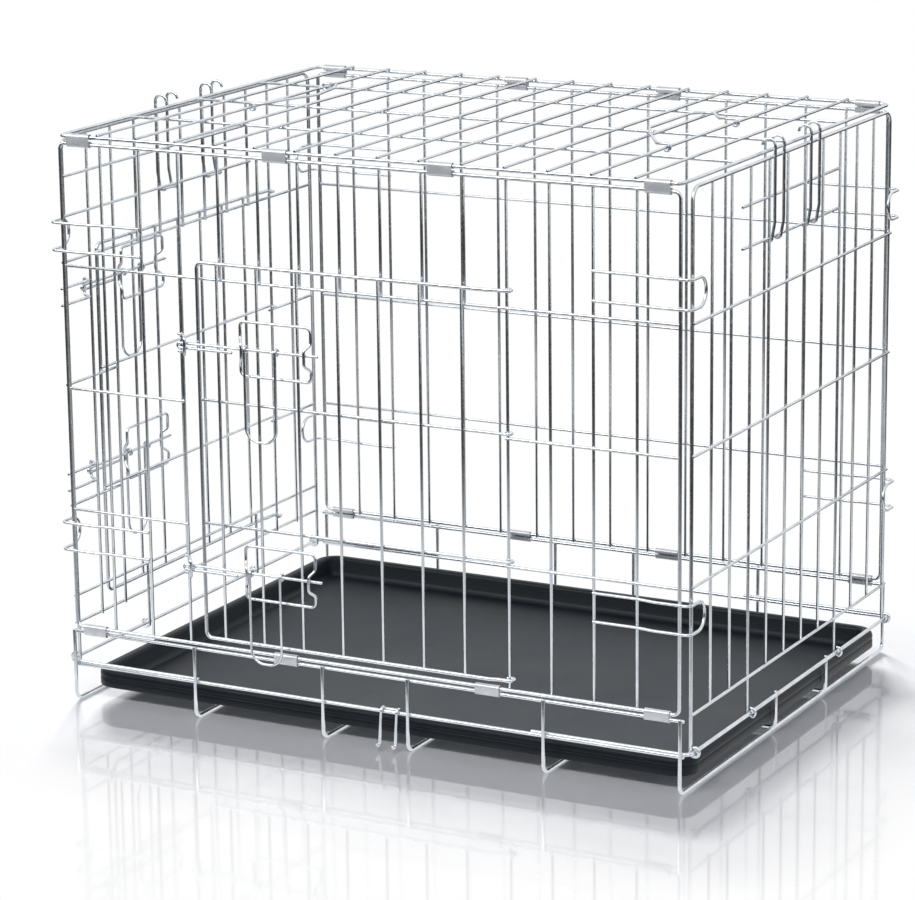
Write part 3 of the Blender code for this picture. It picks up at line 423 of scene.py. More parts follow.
def arc(centre, across, up, radius, first, last):
    """Points round an arc in the plane of two unit vectors, its chords never inside the radius."""
    steps = max(1, math.ceil(abs(last - first) / ARC_STEP - STEP_SLACK))
    half = (last - first) / steps / 2
    angles = [first] + [first + half * (2 * step + 1) for step in range(steps)] + [last]
    points = []
    for index, angle in enumerate(angles):
        inner = 0 < index < len(angles) - 1
        length = radius / math.cos(math.radians(half)) if inner else radius
        turn = math.radians(angle)
        spoke = Vector(across) * math.cos(turn) + Vector(up) * math.sin(turn)
        points.append(Vector(centre) + spoke * length)
    return points


def wire(points, diameter, closed=False):
    """One wire: its path and its thickness."""
    return {"points": [Vector(p) for p in points], "diameter": diameter, "closed": closed}


def wire_mesh(wires, name):
    """All the wires of one list as round bars with eased ends."""
    curve = bpy.data.curves.new(name, "CURVE")
    curve.dimensions = "3D"
    curve.bevel_depth = METRES / 2
    curve.bevel_resolution = BAR_STEPS
    curve.use_fill_caps = True
    for item in wires:
        points = list(item["points"])
        sizes = [1.0] * len(points)
        if not item["closed"]:
            points, sizes = eased(points, item["diameter"])
        spline = curve.splines.new("POLY")
        spline.points.add(len(points) - 1)
        spline.use_cyclic_u = item["closed"]
        for target, point, size in zip(spline.points, points, sizes):
            target.co = (*(point * METRES), 1.0)
            target.radius = item["diameter"] * size
    holder = bpy.data.objects.new(name, curve)
    bpy.context.scene.collection.objects.link(holder)
    bpy.context.view_layer.update()
    graph = bpy.context.evaluated_depsgraph_get()
    mesh = bpy.data.meshes.new_from_object(holder.evaluated_get(graph))
    bpy.data.objects.remove(holder)
    bpy.data.curves.remove(curve)
    return mesh


def eased(points, diameter):
    """The path with two short steps at each end, where the cut wire is slightly rounded."""
    step = diameter * EASE_RUN
    first = (points[1] - points[0]).normalized()
    last = (points[-2] - points[-1]).normalized()
    path = [points[0], points[0] + first * step * EASE_MIDDLE, points[0] + first * step]
    path += points[1:-1]
    path += [points[-1] + last * step, points[-1] + last * step * EASE_MIDDLE, points[-1]]
    sizes = [EASE_TIP, EASE_SHOULDER] + [1.0] * len(points) + [EASE_SHOULDER, EASE_TIP]
    return path, sizes


def nearest(a_start, a_end, b_start, b_end):
    """The nearest points of two straight stretches, or None where they are parallel."""
    a_run = a_end - a_start
    b_run = b_end - b_start
    apart = a_start - b_start
    aa = a_run.dot(a_run)
    ab = a_run.dot(b_run)
    bb = b_run.dot(b_run)
    a_apart = a_run.dot(apart)
    b_apart = b_run.dot(apart)
    area = aa * bb - ab * ab
    if area < PARALLEL * aa * bb:
        return None
    a_share = min(max((ab * b_apart - bb * a_apart) / area, 0.0), 1.0)
    b_share = min(max((ab * a_share + b_apart) / bb, 0.0), 1.0)
    a_share = min(max((ab * b_share - a_apart) / aa, 0.0), 1.0)
    return a_start + a_run * a_share, b_start + b_run * b_share


def weld_spots(layers):
    """Where wires of different layers press into each other: place, direction and size."""
    spots = []
    for index, layer in enumerate(layers):
        for other in layers[index + 1:]:
            for one in layer:
                for two in other:
                    spots += spots_between(one, two)
    return spots


def spots_between(one, two):
    """The spots where two wires press into each other."""
    found = []
    reach = (one["diameter"] + two["diameter"]) / 2
    for a_start, a_end in zip(one["points"], one["points"][1:]):
        for b_start, b_end in zip(two["points"], two["points"][1:]):
            if (a_start - b_start).length > (a_end - a_start).length + (b_end - b_start).length + reach:
                continue
            pair = nearest(a_start, a_end, b_start, b_end)
            if pair is None or (pair[0] - pair[1]).length > reach - WELD_PRESS:
                continue
            middle = (pair[0] + pair[1]) / 2
            if all((middle - spot[0]).length > WELD_SPACING for spot in found):
                across = pair[1] - pair[0]
                found.append((middle, across, min(one["diameter"], two["diameter"])))
    return found


def add_welds(mesh, spots):
    """Squeezed metal round each weld: a flattened bead between the two wires."""
    work = bmesh.new()
    work.from_mesh(mesh)
    layer = work.verts.layers.float.new("weld")
    length, length_swing, length_turn = BEAD_LENGTH
    width, width_swing, width_turn = BEAD_WIDTH
    for number, (middle, across, diameter) in enumerate(spots):
        bead = diameter / 2 * (length + length_swing * math.sin(number * length_turn))
        side = bead * (width + width_swing * math.cos(number * width_turn))
        normal = across.normalized() if across.length > WELD_LEAST_REACH else Vector((0, 0, 1))
        turn = normal.to_track_quat("Z", "Y").to_matrix().to_4x4()
        squash = Matrix.Diagonal((bead, side, bead * BEAD_DEPTH, 1.0))
        where = Matrix.Translation(middle * METRES) @ turn @ squash @ Matrix.Scale(METRES, 4)
        made = bmesh.ops.create_icosphere(work, subdivisions=BEAD_STEPS, radius=1.0, matrix=where)
        for vert in made["verts"]:
            vert[layer] = 1.0
    work.to_mesh(mesh)
    work.free()


def dress(name, mesh, material):
    """Put a mesh in the scene in place of its CAD node, riding on the same body."""
    for face in mesh.polygons:
        face.use_smooth = True
    mesh.materials.clear()
    mesh.materials.append(material)
    obj = bpy.data.objects.new(name + "_detail", mesh)
    bpy.context.scene.collection.objects.link(obj)
    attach(obj, BODY_OF[name])
    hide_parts(name)


def welded(name, layers):
    """One node's wires, round and with a bead at each weld."""
    wires = [item for layer in layers for item in layer]
    mesh = wire_mesh(wires, name)
    add_welds(mesh, weld_spots(layers))
    mesh.set_sharp_from_angle(angle=math.radians(BAR_SHARP))
    dress(name, mesh, ZINC)


def build_base():
    """Feet, long rails, end rims and the floor wires that the tray rests on."""
    feet = []
    for x in FOOT_POSITIONS + (END_FOOT_POSITION,):
        for side in (-1, 1):
            path = [
                (side * x, -FOOT_PLANE, BASE_RAIL + R_FRAME + FOOT_OVERHANG),
                (side * x, -FOOT_PLANE, FLOOR_RUN),
                (side * x, FOOT_PLANE, FLOOR_RUN),
                (side * x, FOOT_PLANE, BASE_RAIL + R_FRAME + FOOT_OVERHANG),
            ]
            feet.append(wire(rounded(path, FOOT_CORNER), FRAME_WIRE))
    end = END_FOOT_POSITION + RAIL_OVERHANG
    rails = []
    for y in (-HALF_DEPTH, HALF_DEPTH):
        rails.append(wire([(-end, y, BASE_RAIL), (end, y, BASE_RAIL)], FRAME_WIRE))
        rails.append(wire([(-end, y, RIM_HEIGHT), (end, y, RIM_HEIGHT)], FRAME_WIRE))
    rims = []
    for side, length in ((-1, LEFT_RETURN), (1, RIGHT_RETURN)):
        inner = side * (END_RIM_REACH - length)
        outer = side * END_RIM_REACH
        path = [
            (inner, -HALF_DEPTH, END_RIM_HEIGHT),
            (outer, -HALF_DEPTH, END_RIM_HEIGHT),
            (outer, HALF_DEPTH, END_RIM_HEIGHT),
            (inner, HALF_DEPTH, END_RIM_HEIGHT),
        ]
        rims.append(wire(rounded(path, RIM_CORNER), FRAME_WIRE))
    floor = []
    for y in FLOOR_WIRES:
        path = [
            (-END_FOOT_POSITION - FRAME_WIRE, y, FLOOR_WIRE_HEIGHT),
            (RISER, y, FLOOR_WIRE_HEIGHT),
            (RISER, y, END_RIM_HEIGHT + OVERHANG),
        ]
        floor.append(wire(rounded(path, PANEL_CORNER), FRAME_WIRE))
    welded("base_frame", [feet, rails, rims, floor])


def panel_loop(first, last):
    """The closed frame of a long panel between two edges, each given by its y and z."""
    corners = [(-HALF_LENGTH, *first), (HALF_LENGTH, *first), (HALF_LENGTH, *last), (-HALF_LENGTH, *last)]
    return wire(rounded(corners, PANEL_CORNER, closed=True), FRAME_WIRE, closed=True)


def build_wall(name, side, door):
    """A long wall, the front one cut away for its door."""
    uprights = []
    for index in range(1, PANEL_PITCHES):
        over_door = door and FRONT_DOOR_FIRST <= index < FRONT_DOOR_HINGE
        bottom = DOOR_HEAD if over_door else PIVOT_HEIGHT
        x = grid_x(index)
        y = side * UPRIGHT_PLANE
        uprights.append(wire([(x, y, bottom - OVERHANG), (x, y, PANEL_TOP + OVERHANG)], FILL_WIRE))
    crosses = []
    left = grid_x(FRONT_KEEPER_POST) + OVERHANG
    right = grid_x(FRONT_DOOR_HINGE) - OVERHANG
    for z in CROSS_HEIGHTS:
        spans = [(-HALF_LENGTH, HALF_LENGTH)]
        if door and z < DOOR_HEAD:
            spans = [(-HALF_LENGTH, left), (right, HALF_LENGTH)]
        for first, last in spans:
            y = side * CROSS_PLANE
            crosses.append(wire([(first, y, z), (last, y, z)], FILL_WIRE))
    plane = side * HALF_DEPTH
    welded(name, [uprights, crosses, [panel_loop((plane, PIVOT_HEIGHT), (plane, PANEL_TOP))]])


def build_top_panel():
    """The top, its short wires over its long ones."""
    loop = panel_loop((-HALF_DEPTH, TOP_HEIGHT), (HALF_DEPTH, TOP_HEIGHT))
    across_height = TOP_HEIGHT + FRAME_TO_FILL
    long_height = across_height - FILL_TO_FILL
    reach = HALF_DEPTH + OVERHANG
    across = []
    for index in range(1, PANEL_PITCHES):
        x = grid_x(index)
        across.append(wire([(x, -reach, across_height), (x, reach, across_height)], FILL_WIRE))
    along = []
    for y in (-TOP_LONG_OFFSET, 0.0, TOP_LONG_OFFSET):
        along.append(wire([(-HALF_LENGTH, y, long_height), (HALF_LENGTH, y, long_height)], FILL_WIRE))
    welded("top_panel", [across, along, [loop]])


def eye_leg(side, y, top):
    """A leg that runs down from the panel and turns round the end rim in an open eye."""
    centre = (side * END_RIM_REACH, y, END_RIM_HEIGHT)
    turn = arc(centre, (side, 0, 0), (0, 0, 1), EYE_RADIUS, 180, 180 + EYE_SWEEP)
    return [Vector((side * END_PLANE, y, top))] + turn


def build_end_panel(name, side, door):
    """One end, which turns on the end rim; the left one has a doorway."""
    plane = side * END_PLANE
    frame_eye = eye_leg(side, 0, END_TOP)[1:]
    near = [Vector((p.x, -END_HALF_WIDTH, p.z)) for p in reversed(frame_eye)]
    far = [Vector((p.x, END_HALF_WIDTH, p.z)) for p in frame_eye]
    corners = [
        (plane, -END_HALF_WIDTH, END_FOOT_RAIL),
        (plane, -END_HALF_WIDTH, END_TOP),
        (plane, END_HALF_WIDTH, END_TOP),
        (plane, END_HALF_WIDTH, END_FOOT_RAIL),
    ]
    frame = [wire(near + rounded(corners, END_CORNER) + far, FRAME_WIRE)]
    uprights = []
    for index in range(1, END_PITCHES):
        y = grid_y(index)
        in_doorway = door and LEFT_OPENING_POST < index < LEFT_DOOR_HINGE
        if in_doorway:
            uprights.append(wire([(plane, y, END_TOP), (plane, y, DOOR_HEAD - OVERHANG)], FILL_WIRE))
        if index in EYE_LEGS:
            top = LEFT_DOOR_SILL + OVERHANG if in_doorway else END_TOP
            uprights.append(wire(eye_leg(side, y, top), FILL_WIRE))
        elif not in_doorway:
            path = [(plane, y, END_TOP), (plane, y, END_FOOT_RAIL - OVERHANG)]
            uprights.append(wire(path, FILL_WIRE))
    reach = END_HALF_WIDTH + OVERHANG
    spans = [(-reach, reach, END_FOOT_RAIL)]
    if door:
        spans.append((-reach, reach, LEFT_DOOR_SILL))
    for z in CROSS_HEIGHTS:
        if door and z < DOOR_HEAD:
            spans.append((-reach, grid_y(LEFT_OPENING_POST) + OVERHANG, z))
            spans.append((grid_y(LEFT_DOOR_HINGE) - OVERHANG, reach, z))
        else:
            spans.append((-reach, reach, z))
    cross_x = side * END_CROSS_PLANE
    crosses = [wire([(cross_x, first, z), (cross_x, last, z)], FILL_WIRE) for first, last, z in spans]
    hook_x = side * END_HOOK_PLANE
    first = grid_y(LEFT_HOOK_RAIL_FIRST) - OVERHANG
    if side > 0:
        first = grid_y(RIGHT_HOOK_RAIL_FIRST) - RIGHT_HOOK_RAIL_TAIL
    last = grid_y(HOOK_RAIL_LAST) + OVERHANG
    for z in HOOK_RAILS:
        crosses.append(wire([(hook_x, first, z), (hook_x, last, z)], FILL_WIRE))
    welded(name, [frame, uprights, crosses])


def build_door(name, spot, shape):
    """A door in its own frame: x from hinge to free edge, y outward, z up."""
    pivot = shape["pivot"]
    edge = shape["edge"]
    ring_line = pivot + DOOR_RING

    def ring(z, radius):
        centre = Vector((0, pivot, z))
        return arc(centre, (1, 0, 0), (0, 1, 0), radius, RING_START, RING_END)

    bottom = shape["bottom"]
    top = shape["top"]
    outline = [(DOOR_ARM, 0, bottom), (edge, 0, bottom), (edge, 0, top), (DOOR_ARM, 0, top)]
    path = list(reversed(ring(bottom, DOOR_RING))) + [Vector((DOOR_ARM_BEND, ring_line, bottom))]
    path += rounded(outline, DOOR_CORNER)
    path += [Vector((DOOR_ARM_BEND, ring_line, top))] + ring(top, DOOR_RING)
    frame = [wire([spot(p) for p in path], FRAME_WIRE)]
    uprights = []
    for u in shape["uprights"]:
        ends = [Vector((u, 0, bottom)), Vector((u, 0, top))]
        uprights.append(wire([spot(p) for p in ends], FILL_WIRE))
    crosses = []
    cross_ring = -DOOR_CROSS_INSET - pivot
    for z in [height + DOOR_RAIL_LIFT for height in CROSS_HEIGHTS[:-1]]:
        path = [Vector((edge + OVERHANG, -DOOR_CROSS_INSET, z))] + ring(z, cross_ring)
        crosses.append(wire([spot(p) for p in path], FILL_WIRE))
    welded(name, [frame, uprights, crosses])


def front_door_spot(point):
    """From the front door's own frame to the crate's."""
    return Vector((grid_x(FRONT_DOOR_HINGE) - point.x, -FRONT_DOOR_PLANE - point.y, point.z))


def left_door_spot(point):
    """From the left door's own frame to the crate's."""
    return Vector((-LEFT_DOOR_PLANE - point.y, grid_y(LEFT_DOOR_HINGE) - point.x, point.z))


def build_front_door():
    """The front door and its two latches."""
    hinge = grid_x(FRONT_DOOR_HINGE)
    shape = {
        "pivot": UPRIGHT_PLANE - FRONT_DOOR_PLANE,
        "edge": hinge - grid_x(FRONT_DOOR_EDGE),
        "bottom": PIVOT_HEIGHT + FRONT_DOOR_LIFT,
        "top": FRONT_DOOR_TOP,
        "uprights": [hinge - grid_x(i) for i in range(FRONT_DOOR_FIRST, FRONT_DOOR_HINGE)],
    }
    build_door("front_door", front_door_spot, shape)
    post = hinge - grid_x(FRONT_KEEPER_POST)
    build_latches("front", front_door_spot, FRONT_LATCHES, {
        "edge": shape["edge"],
        "post": post,
        "tail": post + KEEPER_TAIL,
        "post_face": UPRIGHT_PLANE - FRONT_DOOR_PLANE + R_FILL,
    })


def build_left_door():
    """The left door and its two latches."""
    hinge = grid_y(LEFT_DOOR_HINGE)
    shape = {
        "pivot": END_PLANE - LEFT_DOOR_PLANE,
        "edge": hinge - grid_y(LEFT_DOOR_EDGE),
        "bottom": END_FOOT_RAIL + LEFT_DOOR_LIFT,
        "top": LEFT_DOOR_TOP,
        "uprights": [hinge - grid_y(i) for i in range(LEFT_DOOR_FIRST, LEFT_DOOR_HINGE)],
    }
    build_door("left_door", left_door_spot, shape)
    build_latches("left", left_door_spot, LEFT_LATCHES, {
        "edge": shape["edge"],
        "post": hinge - grid_y(LEFT_KEEPER_POST),
        "tail": hinge - grid_y(0) + KEEPER_TAIL,
        "post_face": END_PLANE - LEFT_DOOR_PLANE + R_FRAME,
    })


def build_latches(face, spot, heights, at):
    """The upper and the lower latch of one door."""
    for level, height in zip(("upper", "lower"), heights):
        build_latch(f"{face}_{level}", spot, height, at)


def build_latch(prefix, spot, z0, at):
    """Bolt, handle, guide and keeper of one rod latch, at its bolt's height."""
    edge = at["edge"]

    # Bolt, doubled back at the end that enters the keeper
    tip = edge + BOLT_REACH
    path = [
        (tip - BOLT_LENGTH, BOLT_PLANE, z0),
        (tip, BOLT_PLANE, z0),
        (tip, BOLT_PLANE, z0 - HAIRPIN_SPACING),
        (tip - HAIRPIN_LENGTH, BOLT_PLANE, z0 - HAIRPIN_SPACING),
    ]
    points = [spot(p) for p in rounded(path, HAIRPIN_SPACING / 2)]
    welded(prefix + "_bolt", [[wire(points, BOLT_WIRE)]])

    # Handle, hung on the bolt by two eyes
    first = edge - HANDLE_START
    last = first - HANDLE_WIDTH
    eye = arc((0, BOLT_PLANE, z0), (0, 1, 0), (0, 0, 1), HANDLE_EYE, 0, HANDLE_EYE_SWEEP)
    low = z0 - HANDLE_DROP
    front = BOLT_PLANE + HANDLE_EYE
    hang = [(first, front, z0), (first, front, low), (last, front, low), (last, front, z0)]
    bend = rounded(hang, HANDLE_BEND)
    path = [Vector((first, p.y, p.z)) for p in reversed(eye)] + bend[1:-1]
    path += [Vector((last, p.y, p.z)) for p in eye]
    points = [spot(p) for p in path]
    welded(prefix + "_handle", [[wire(points, HANDLE_WIRE)]])

    # Guide, a closed loop whose two sides arch over the bolt
    outer = edge - GUIDE_START
    inner = outer - GUIDE_WIDTH
    half = GUIDE_HEIGHT / 2
    arch_top = R_BOLT + GUIDE_ARCH_ROOM
    arch_low = HAIRPIN_SPACING + arch_top
    foot_top = arch_top + GUIDE_ARCH_RUN
    foot_low = arch_low + GUIDE_ARCH_RUN
    pinch = GUIDE_ARCH_PINCH
    path = [
        (inner, GUIDE_PLANE, z0 + half),
        (outer, GUIDE_PLANE, z0 + half),
        (outer, GUIDE_PLANE, z0 + foot_top),
        (outer - pinch, ARCH_PLANE, z0 + arch_top),
        (outer - pinch, ARCH_PLANE, z0 - arch_low),
        (outer, GUIDE_PLANE, z0 - foot_low),
        (outer, GUIDE_PLANE, z0 - half),
        (inner, GUIDE_PLANE, z0 - half),
        (inner, GUIDE_PLANE, z0 - foot_low),
        (inner + pinch, ARCH_PLANE, z0 - arch_low),
        (inner + pinch, ARCH_PLANE, z0 + arch_top),
        (inner, GUIDE_PLANE, z0 + foot_top),
    ]
    points = [spot(p) for p in rounded(path, GUIDE_BEND, closed=True)]
    welded(prefix + "_guide", [[wire(points, FILL_WIRE, closed=True)]])

    # Keeper, a loop that stands out from the post and passes in front of the bolt
    seat = at["post_face"] + SEAT_GAP + R_FILL
    post = at["post"]
    bar = post - KEEPER_REACH
    middle = z0 - HAIRPIN_SPACING / 2
    high = middle + KEEPER_HEIGHT / 2
    deep = middle - KEEPER_HEIGHT / 2
    path = [
        (at["tail"], seat, high),
        (post - KEEPER_RUN, seat, high),
        (bar, ARCH_PLANE, high),
        (bar, ARCH_PLANE, deep),
        (post - KEEPER_RUN, seat, deep),
        (at["tail"], seat, deep),
    ]
    points = [spot(p) for p in rounded(path, KEEPER_BEND)]
    welded(prefix + "_keeper", [[wire(points, FILL_WIRE)]])


def build_tongues():
    """Doubled wires at the ends of the long panels that turn round the end panels."""
    seat = UPRIGHT_PLANE + FILL_WIRE + SEAT_GAP
    past_post = HALF_DEPTH + R_FRAME + SEAT_GAP + R_FILL
    turn_x = END_PLANE + R_FRAME + TONGUE_CLEARANCE + R_FILL
    half = TONGUE_SPREAD / 2
    leg = [
        (HALF_LENGTH - TONGUE_LENGTH, seat),
        (HALF_LENGTH - TONGUE_BEND_START * PITCH, seat),
        (HALF_LENGTH - TONGUE_BEND_END * PITCH, past_post),
        (turn_x, past_post),
    ]
    for face, back in (("front", -1), ("back", 1)):
        for end, side in (("left", -1), ("right", 1)):
            for level, height in zip(("upper", "lower"), TONGUE_HEIGHTS):
                centre = (side * turn_x, back * (past_post - TONGUE_TURN + half), height)
                path = [(side * x, back * y, height + half) for x, y in leg]
                path += arc(centre, (0, -back, 0), (0, 0, 1), half, 90, -90)
                path += [(side * x, back * y, height - half) for x, y in reversed(leg)]
                name = "_".join((face, end, level, "tongue"))
                points = rounded(path, PANEL_CORNER)
                welded(name, [[wire(points, FILL_WIRE)]])


def build_top_hooks():
    """Sprung hooks that hang on the lower hook rail and reach over the end of the top."""
    leg_x = END_PLANE + R_FRAME + RUNNING_GAP + R_FILL
    ring = FILL_WIRE + RING_PLAY
    rail_x = END_HOOK_PLANE
    rail_z = HOOK_RAILS[0]
    for end, side in (("left", -1), ("right", 1)):
        for label, cell in zip(("front", "back"), HOOK_CELLS):
            start = grid_y(cell) + HOOK_OFFSET
            centre = (side * (leg_x - HOOK_ARC), 0, HOOK_TIP_HEIGHT)
            over = arc(centre, (side, 0, 0), (0, 0, 1), HOOK_ARC, 180, 0)
            under = arc((side * rail_x, 0, rail_z), (side, 0, 0), (0, 0, 1), ring, 0, -HOOK_HEEL_SWEEP)
            leg = over + [Vector((side * leg_x, 0, rail_z + HOOK_HEEL))] + under
            near = [Vector((p.x, start, p.z)) for p in leg]
            far = [Vector((p.x, start + HOOK_WIDTH, p.z)) for p in reversed(leg)]
            name = "_".join((end, label, "top_hook"))
            welded(name, [[wire(near + far, FILL_WIRE)]])


def build_bails():
    """Two bent handles that lie on the top panel and turn on one of its transverse wires."""
    pivot_z = TOP_HEIGHT + FRAME_TO_FILL
    lying = pivot_z + R_FILL + SEAT_GAP + BAIL_WIRE / 2
    ring = (FILL_WIRE + BAIL_WIRE) / 2 + RING_PLAY
    shapes = {
        "right_bail": (RIGHT_BAIL_WIRE, 1, RIGHT_BAIL),
        "left_bail": (LEFT_BAIL_WIRE, -1, LEFT_BAIL),
    }
    for name, (index, side, outline) in shapes.items():
        x = grid_x(index)
        tail = arc((x, 0, pivot_z), (-side, 0, 0), (0, 0, 1), ring, RING_START, RING_END)
        first = outline[0][0]
        last = outline[-1][0]
        path = [Vector((p.x, first, p.z)) for p in reversed(tail)]
        body = [(x + side * offset, y, lying) for y, offset in outline]
        path += rounded(body, BAIL_BEND)
        path += [Vector((p.x, last, p.z)) for p in tail]
        welded(name, [[wire(path, BAIL_WIRE)]])


def build_closure_hook():
    """Doubled hook that hangs on the front lower rail and swings up over the folded crate."""
    ring = R_FRAME + R_FILL + RUNNING_GAP + CLOSURE_PLAY
    turn = arc((0, -HALF_DEPTH, RIM_HEIGHT), (0, -1, 0), (0, 0, 1), ring, 0, CLOSURE_SWEEP)
    low = RIM_HEIGHT - CLOSURE_DROP
    out = -HALF_DEPTH - ring - CLOSURE_LEAN
    curl = arc((0, out - CLOSURE_CURL, low + CLOSURE_CURL_LIFT), (0, 1, 0), (0, 0, 1), CLOSURE_CURL, -180, 0)
    leg = curl + turn
    first = [Vector((CLOSURE_START, p.y, p.z)) for p in leg]
    last = [Vector((CLOSURE_START + CLOSURE_WIDTH, p.y, p.z)) for p in reversed(leg)]
    welded("closure_hook", [[wire(first + last, FILL_WIRE)]])


def bridge(work, rings):
    """Faces from each ring of points to the next."""
    for ring, after_ring in zip(rings, rings[1:]):
        for index in range(len(ring)):
            after = (index + 1) % len(ring)
            work.faces.new((ring[index], ring[after], after_ring[after], after_ring[index]))


def closed_mesh(work, name, sharp):
    """The mesh of a closed shape, its edges sharp from an angle in degrees."""
    bmesh.ops.recalc_face_normals(work, faces=work.faces)
    mesh = bpy.data.meshes.new(name)
    work.to_mesh(mesh)
    work.free()
    mesh.set_sharp_from_angle(angle=math.radians(sharp))
    return mesh


def stadium(radius, half_span):
    """Half-width and height pairs round an upright oval, open by a slit on its inner side."""
    steps = CLIP_ARC_STEPS
    points = [(radius, -CLIP_SLIT / 2)]
    for step in range(steps + 1):
        angle = -math.pi * step / steps
        points.append((radius * math.cos(angle), -half_span + radius * math.sin(angle)))
    for step in range(steps + 1):
        angle = math.pi - math.pi * step / steps
        points.append((radius * math.cos(angle), half_span + radius * math.sin(angle)))
    points.append((radius, CLIP_SLIT / 2))
    return points


def build_clip(name, x, y, rails):
    """A rolled strip with eased edges round two stacked rails."""
    inside = R_FRAME + CLIP_PLAY
    low_rail, spacing = rails
    half = spacing / 2
    inward = -1 if y > 0 else 1
    end = CLIP_LENGTH / 2
    near = [(-end, CLIP_EASE, 0.0), (-end + CLIP_EASE, 0.0, 0.0), (-end + CLIP_SHOULDER, 0.0, 0.0)]
    far = [(-along, flare, waist) for along, flare, waist in reversed(near)]
    slices = near + [(0.0, 0.0, CLIP_WAIST)] + far
    work = bmesh.new()
    rings = []
    for along, flare, waist in slices:
        wall = CLIP_WALL - flare - waist
        low = inside + flare
        profile = stadium(low + wall, half)
        profile += list(reversed(stadium(low, half)))
        ring = [
            work.verts.new(Vector((x + along, y + inward * a, low_rail + half + b)) * METRES)
            for a, b in profile
        ]
        rings.append(ring)
    bridge(work, rings)
    total = len(rings[0])
    for ring in (rings[0], rings[-1]):
        for index in range(total // 2 - 1):
            mate = total - 1 - index
            work.faces.new((ring[index], ring[index + 1], ring[mate - 1], ring[mate]))
    dress(name, closed_mesh(work, name, CLIP_SHARP), CLIP_ZINC_PAINTED_SHEEN)


def build_clips():
    """The rows of clips along the long rails, below and at the top."""
    rows = (
        ("base_front_clip", -HALF_DEPTH, (BASE_RAIL, BASE_RAIL_SPACING), FRONT_BASE_CLIP_CELLS),
        ("base_back_clip", HALF_DEPTH, (BASE_RAIL, BASE_RAIL_SPACING), BACK_BASE_CLIP_CELLS),
        ("top_front_clip", -HALF_DEPTH, (PANEL_TOP, TOP_RAIL_SPACING), TOP_CLIP_CELLS),
        ("top_back_clip", HALF_DEPTH, (PANEL_TOP, TOP_RAIL_SPACING), TOP_CLIP_CELLS),
    )
    for label, y, rails, cells in rows:
        for number, cell in enumerate(cells, start=1):
            build_clip(f"{label}_{number}", grid_x(cell + 0.5), y, rails)


def tray_ring(work, inset, height):
    """One rounded rectangle of the tray, its corners tightening as it moves in."""
    middle = (TRAY_RIGHT + TRAY_LEFT) / 2
    half_x = (TRAY_RIGHT - TRAY_LEFT) / 2 - inset
    half_y = TRAY_WIDTH / 2 - inset
    radius = max(TRAY_CORNER - inset, TRAY_LEAST_CORNER)
    steps = TRAY_ARC_STEPS
    points = []
    for quarter, (sx, sy) in enumerate(((1, 1), (-1, 1), (-1, -1), (1, -1))):
        centre = (middle + sx * (half_x - radius), sy * (half_y - radius))
        for step in range(steps + 1):
            angle = math.pi / 2 * (quarter + step / steps)
            x = centre[0] + radius * math.cos(angle)
            y = centre[1] + radius * math.sin(angle)
            points.append(work.verts.new(Vector((x, y, height)) * METRES))
    return points


def stepped(inset, height, steps):
    """Points of the tray's section round one of its corners."""
    return [(inset + across, height + up) for across, up in steps]


def tray_section():
    """The tray's wall from the underside round the lip to the floor, as (inset, height) pairs."""
    bottom = FLOOR_WIRE_HEIGHT + R_FRAME + SEAT_GAP
    lip_low = TRAY_TOP - TRAY_LIP_DROP
    groove = TRAY_TOP - TRAY_GROOVE_DROP
    wall = TRAY_LIP_WIDTH
    skin = TRAY_LIP_SKIN
    roof = TRAY_TOP - skin
    groove_low = groove - TRAY_GROOVE_HALF
    groove_high = groove + TRAY_GROOVE_HALF
    points = stepped(wall, bottom, TRAY_HEEL)
    points += stepped(wall - skin, roof, TRAY_LIP_ROOF)
    points += stepped(skin, roof, TRAY_LIP_BEND)
    points += stepped(skin, lip_low, TRAY_LIP_INSIDE)
    points += stepped(0.0, lip_low, TRAY_LIP_OUTSIDE)
    points += [
        (0.0, groove_low - TRAY_GROOVE_EASE),
        (TRAY_GROOVE_STEP, groove_low),
        (TRAY_GROOVE_DEPTH, groove - TRAY_GROOVE_STEP),
        (TRAY_GROOVE_DEPTH, groove + TRAY_GROOVE_STEP),
        (TRAY_GROOVE_STEP, groove_high),
        (0.0, groove_high + TRAY_GROOVE_EASE),
    ]
    points += stepped(0.0, TRAY_TOP, TRAY_SHOULDER)
    points += stepped(wall, TRAY_TOP, TRAY_INNER_SHOULDER)
    points += stepped(wall, bottom + TRAY_FLOOR, TRAY_DISH)
    return points


def build_tray():
    """The tray with a rolled lip, rounded shoulders and a softly dished floor."""
    work = bmesh.new()
    rings = [tray_ring(work, inset, height) for inset, height in tray_section()]
    bridge(work, rings)
    work.faces.new(list(reversed(rings[0])))
    work.faces.new(rings[-1])
    dress("tray", closed_mesh(work, "tray", TRAY_SHARP), PLASTIC)


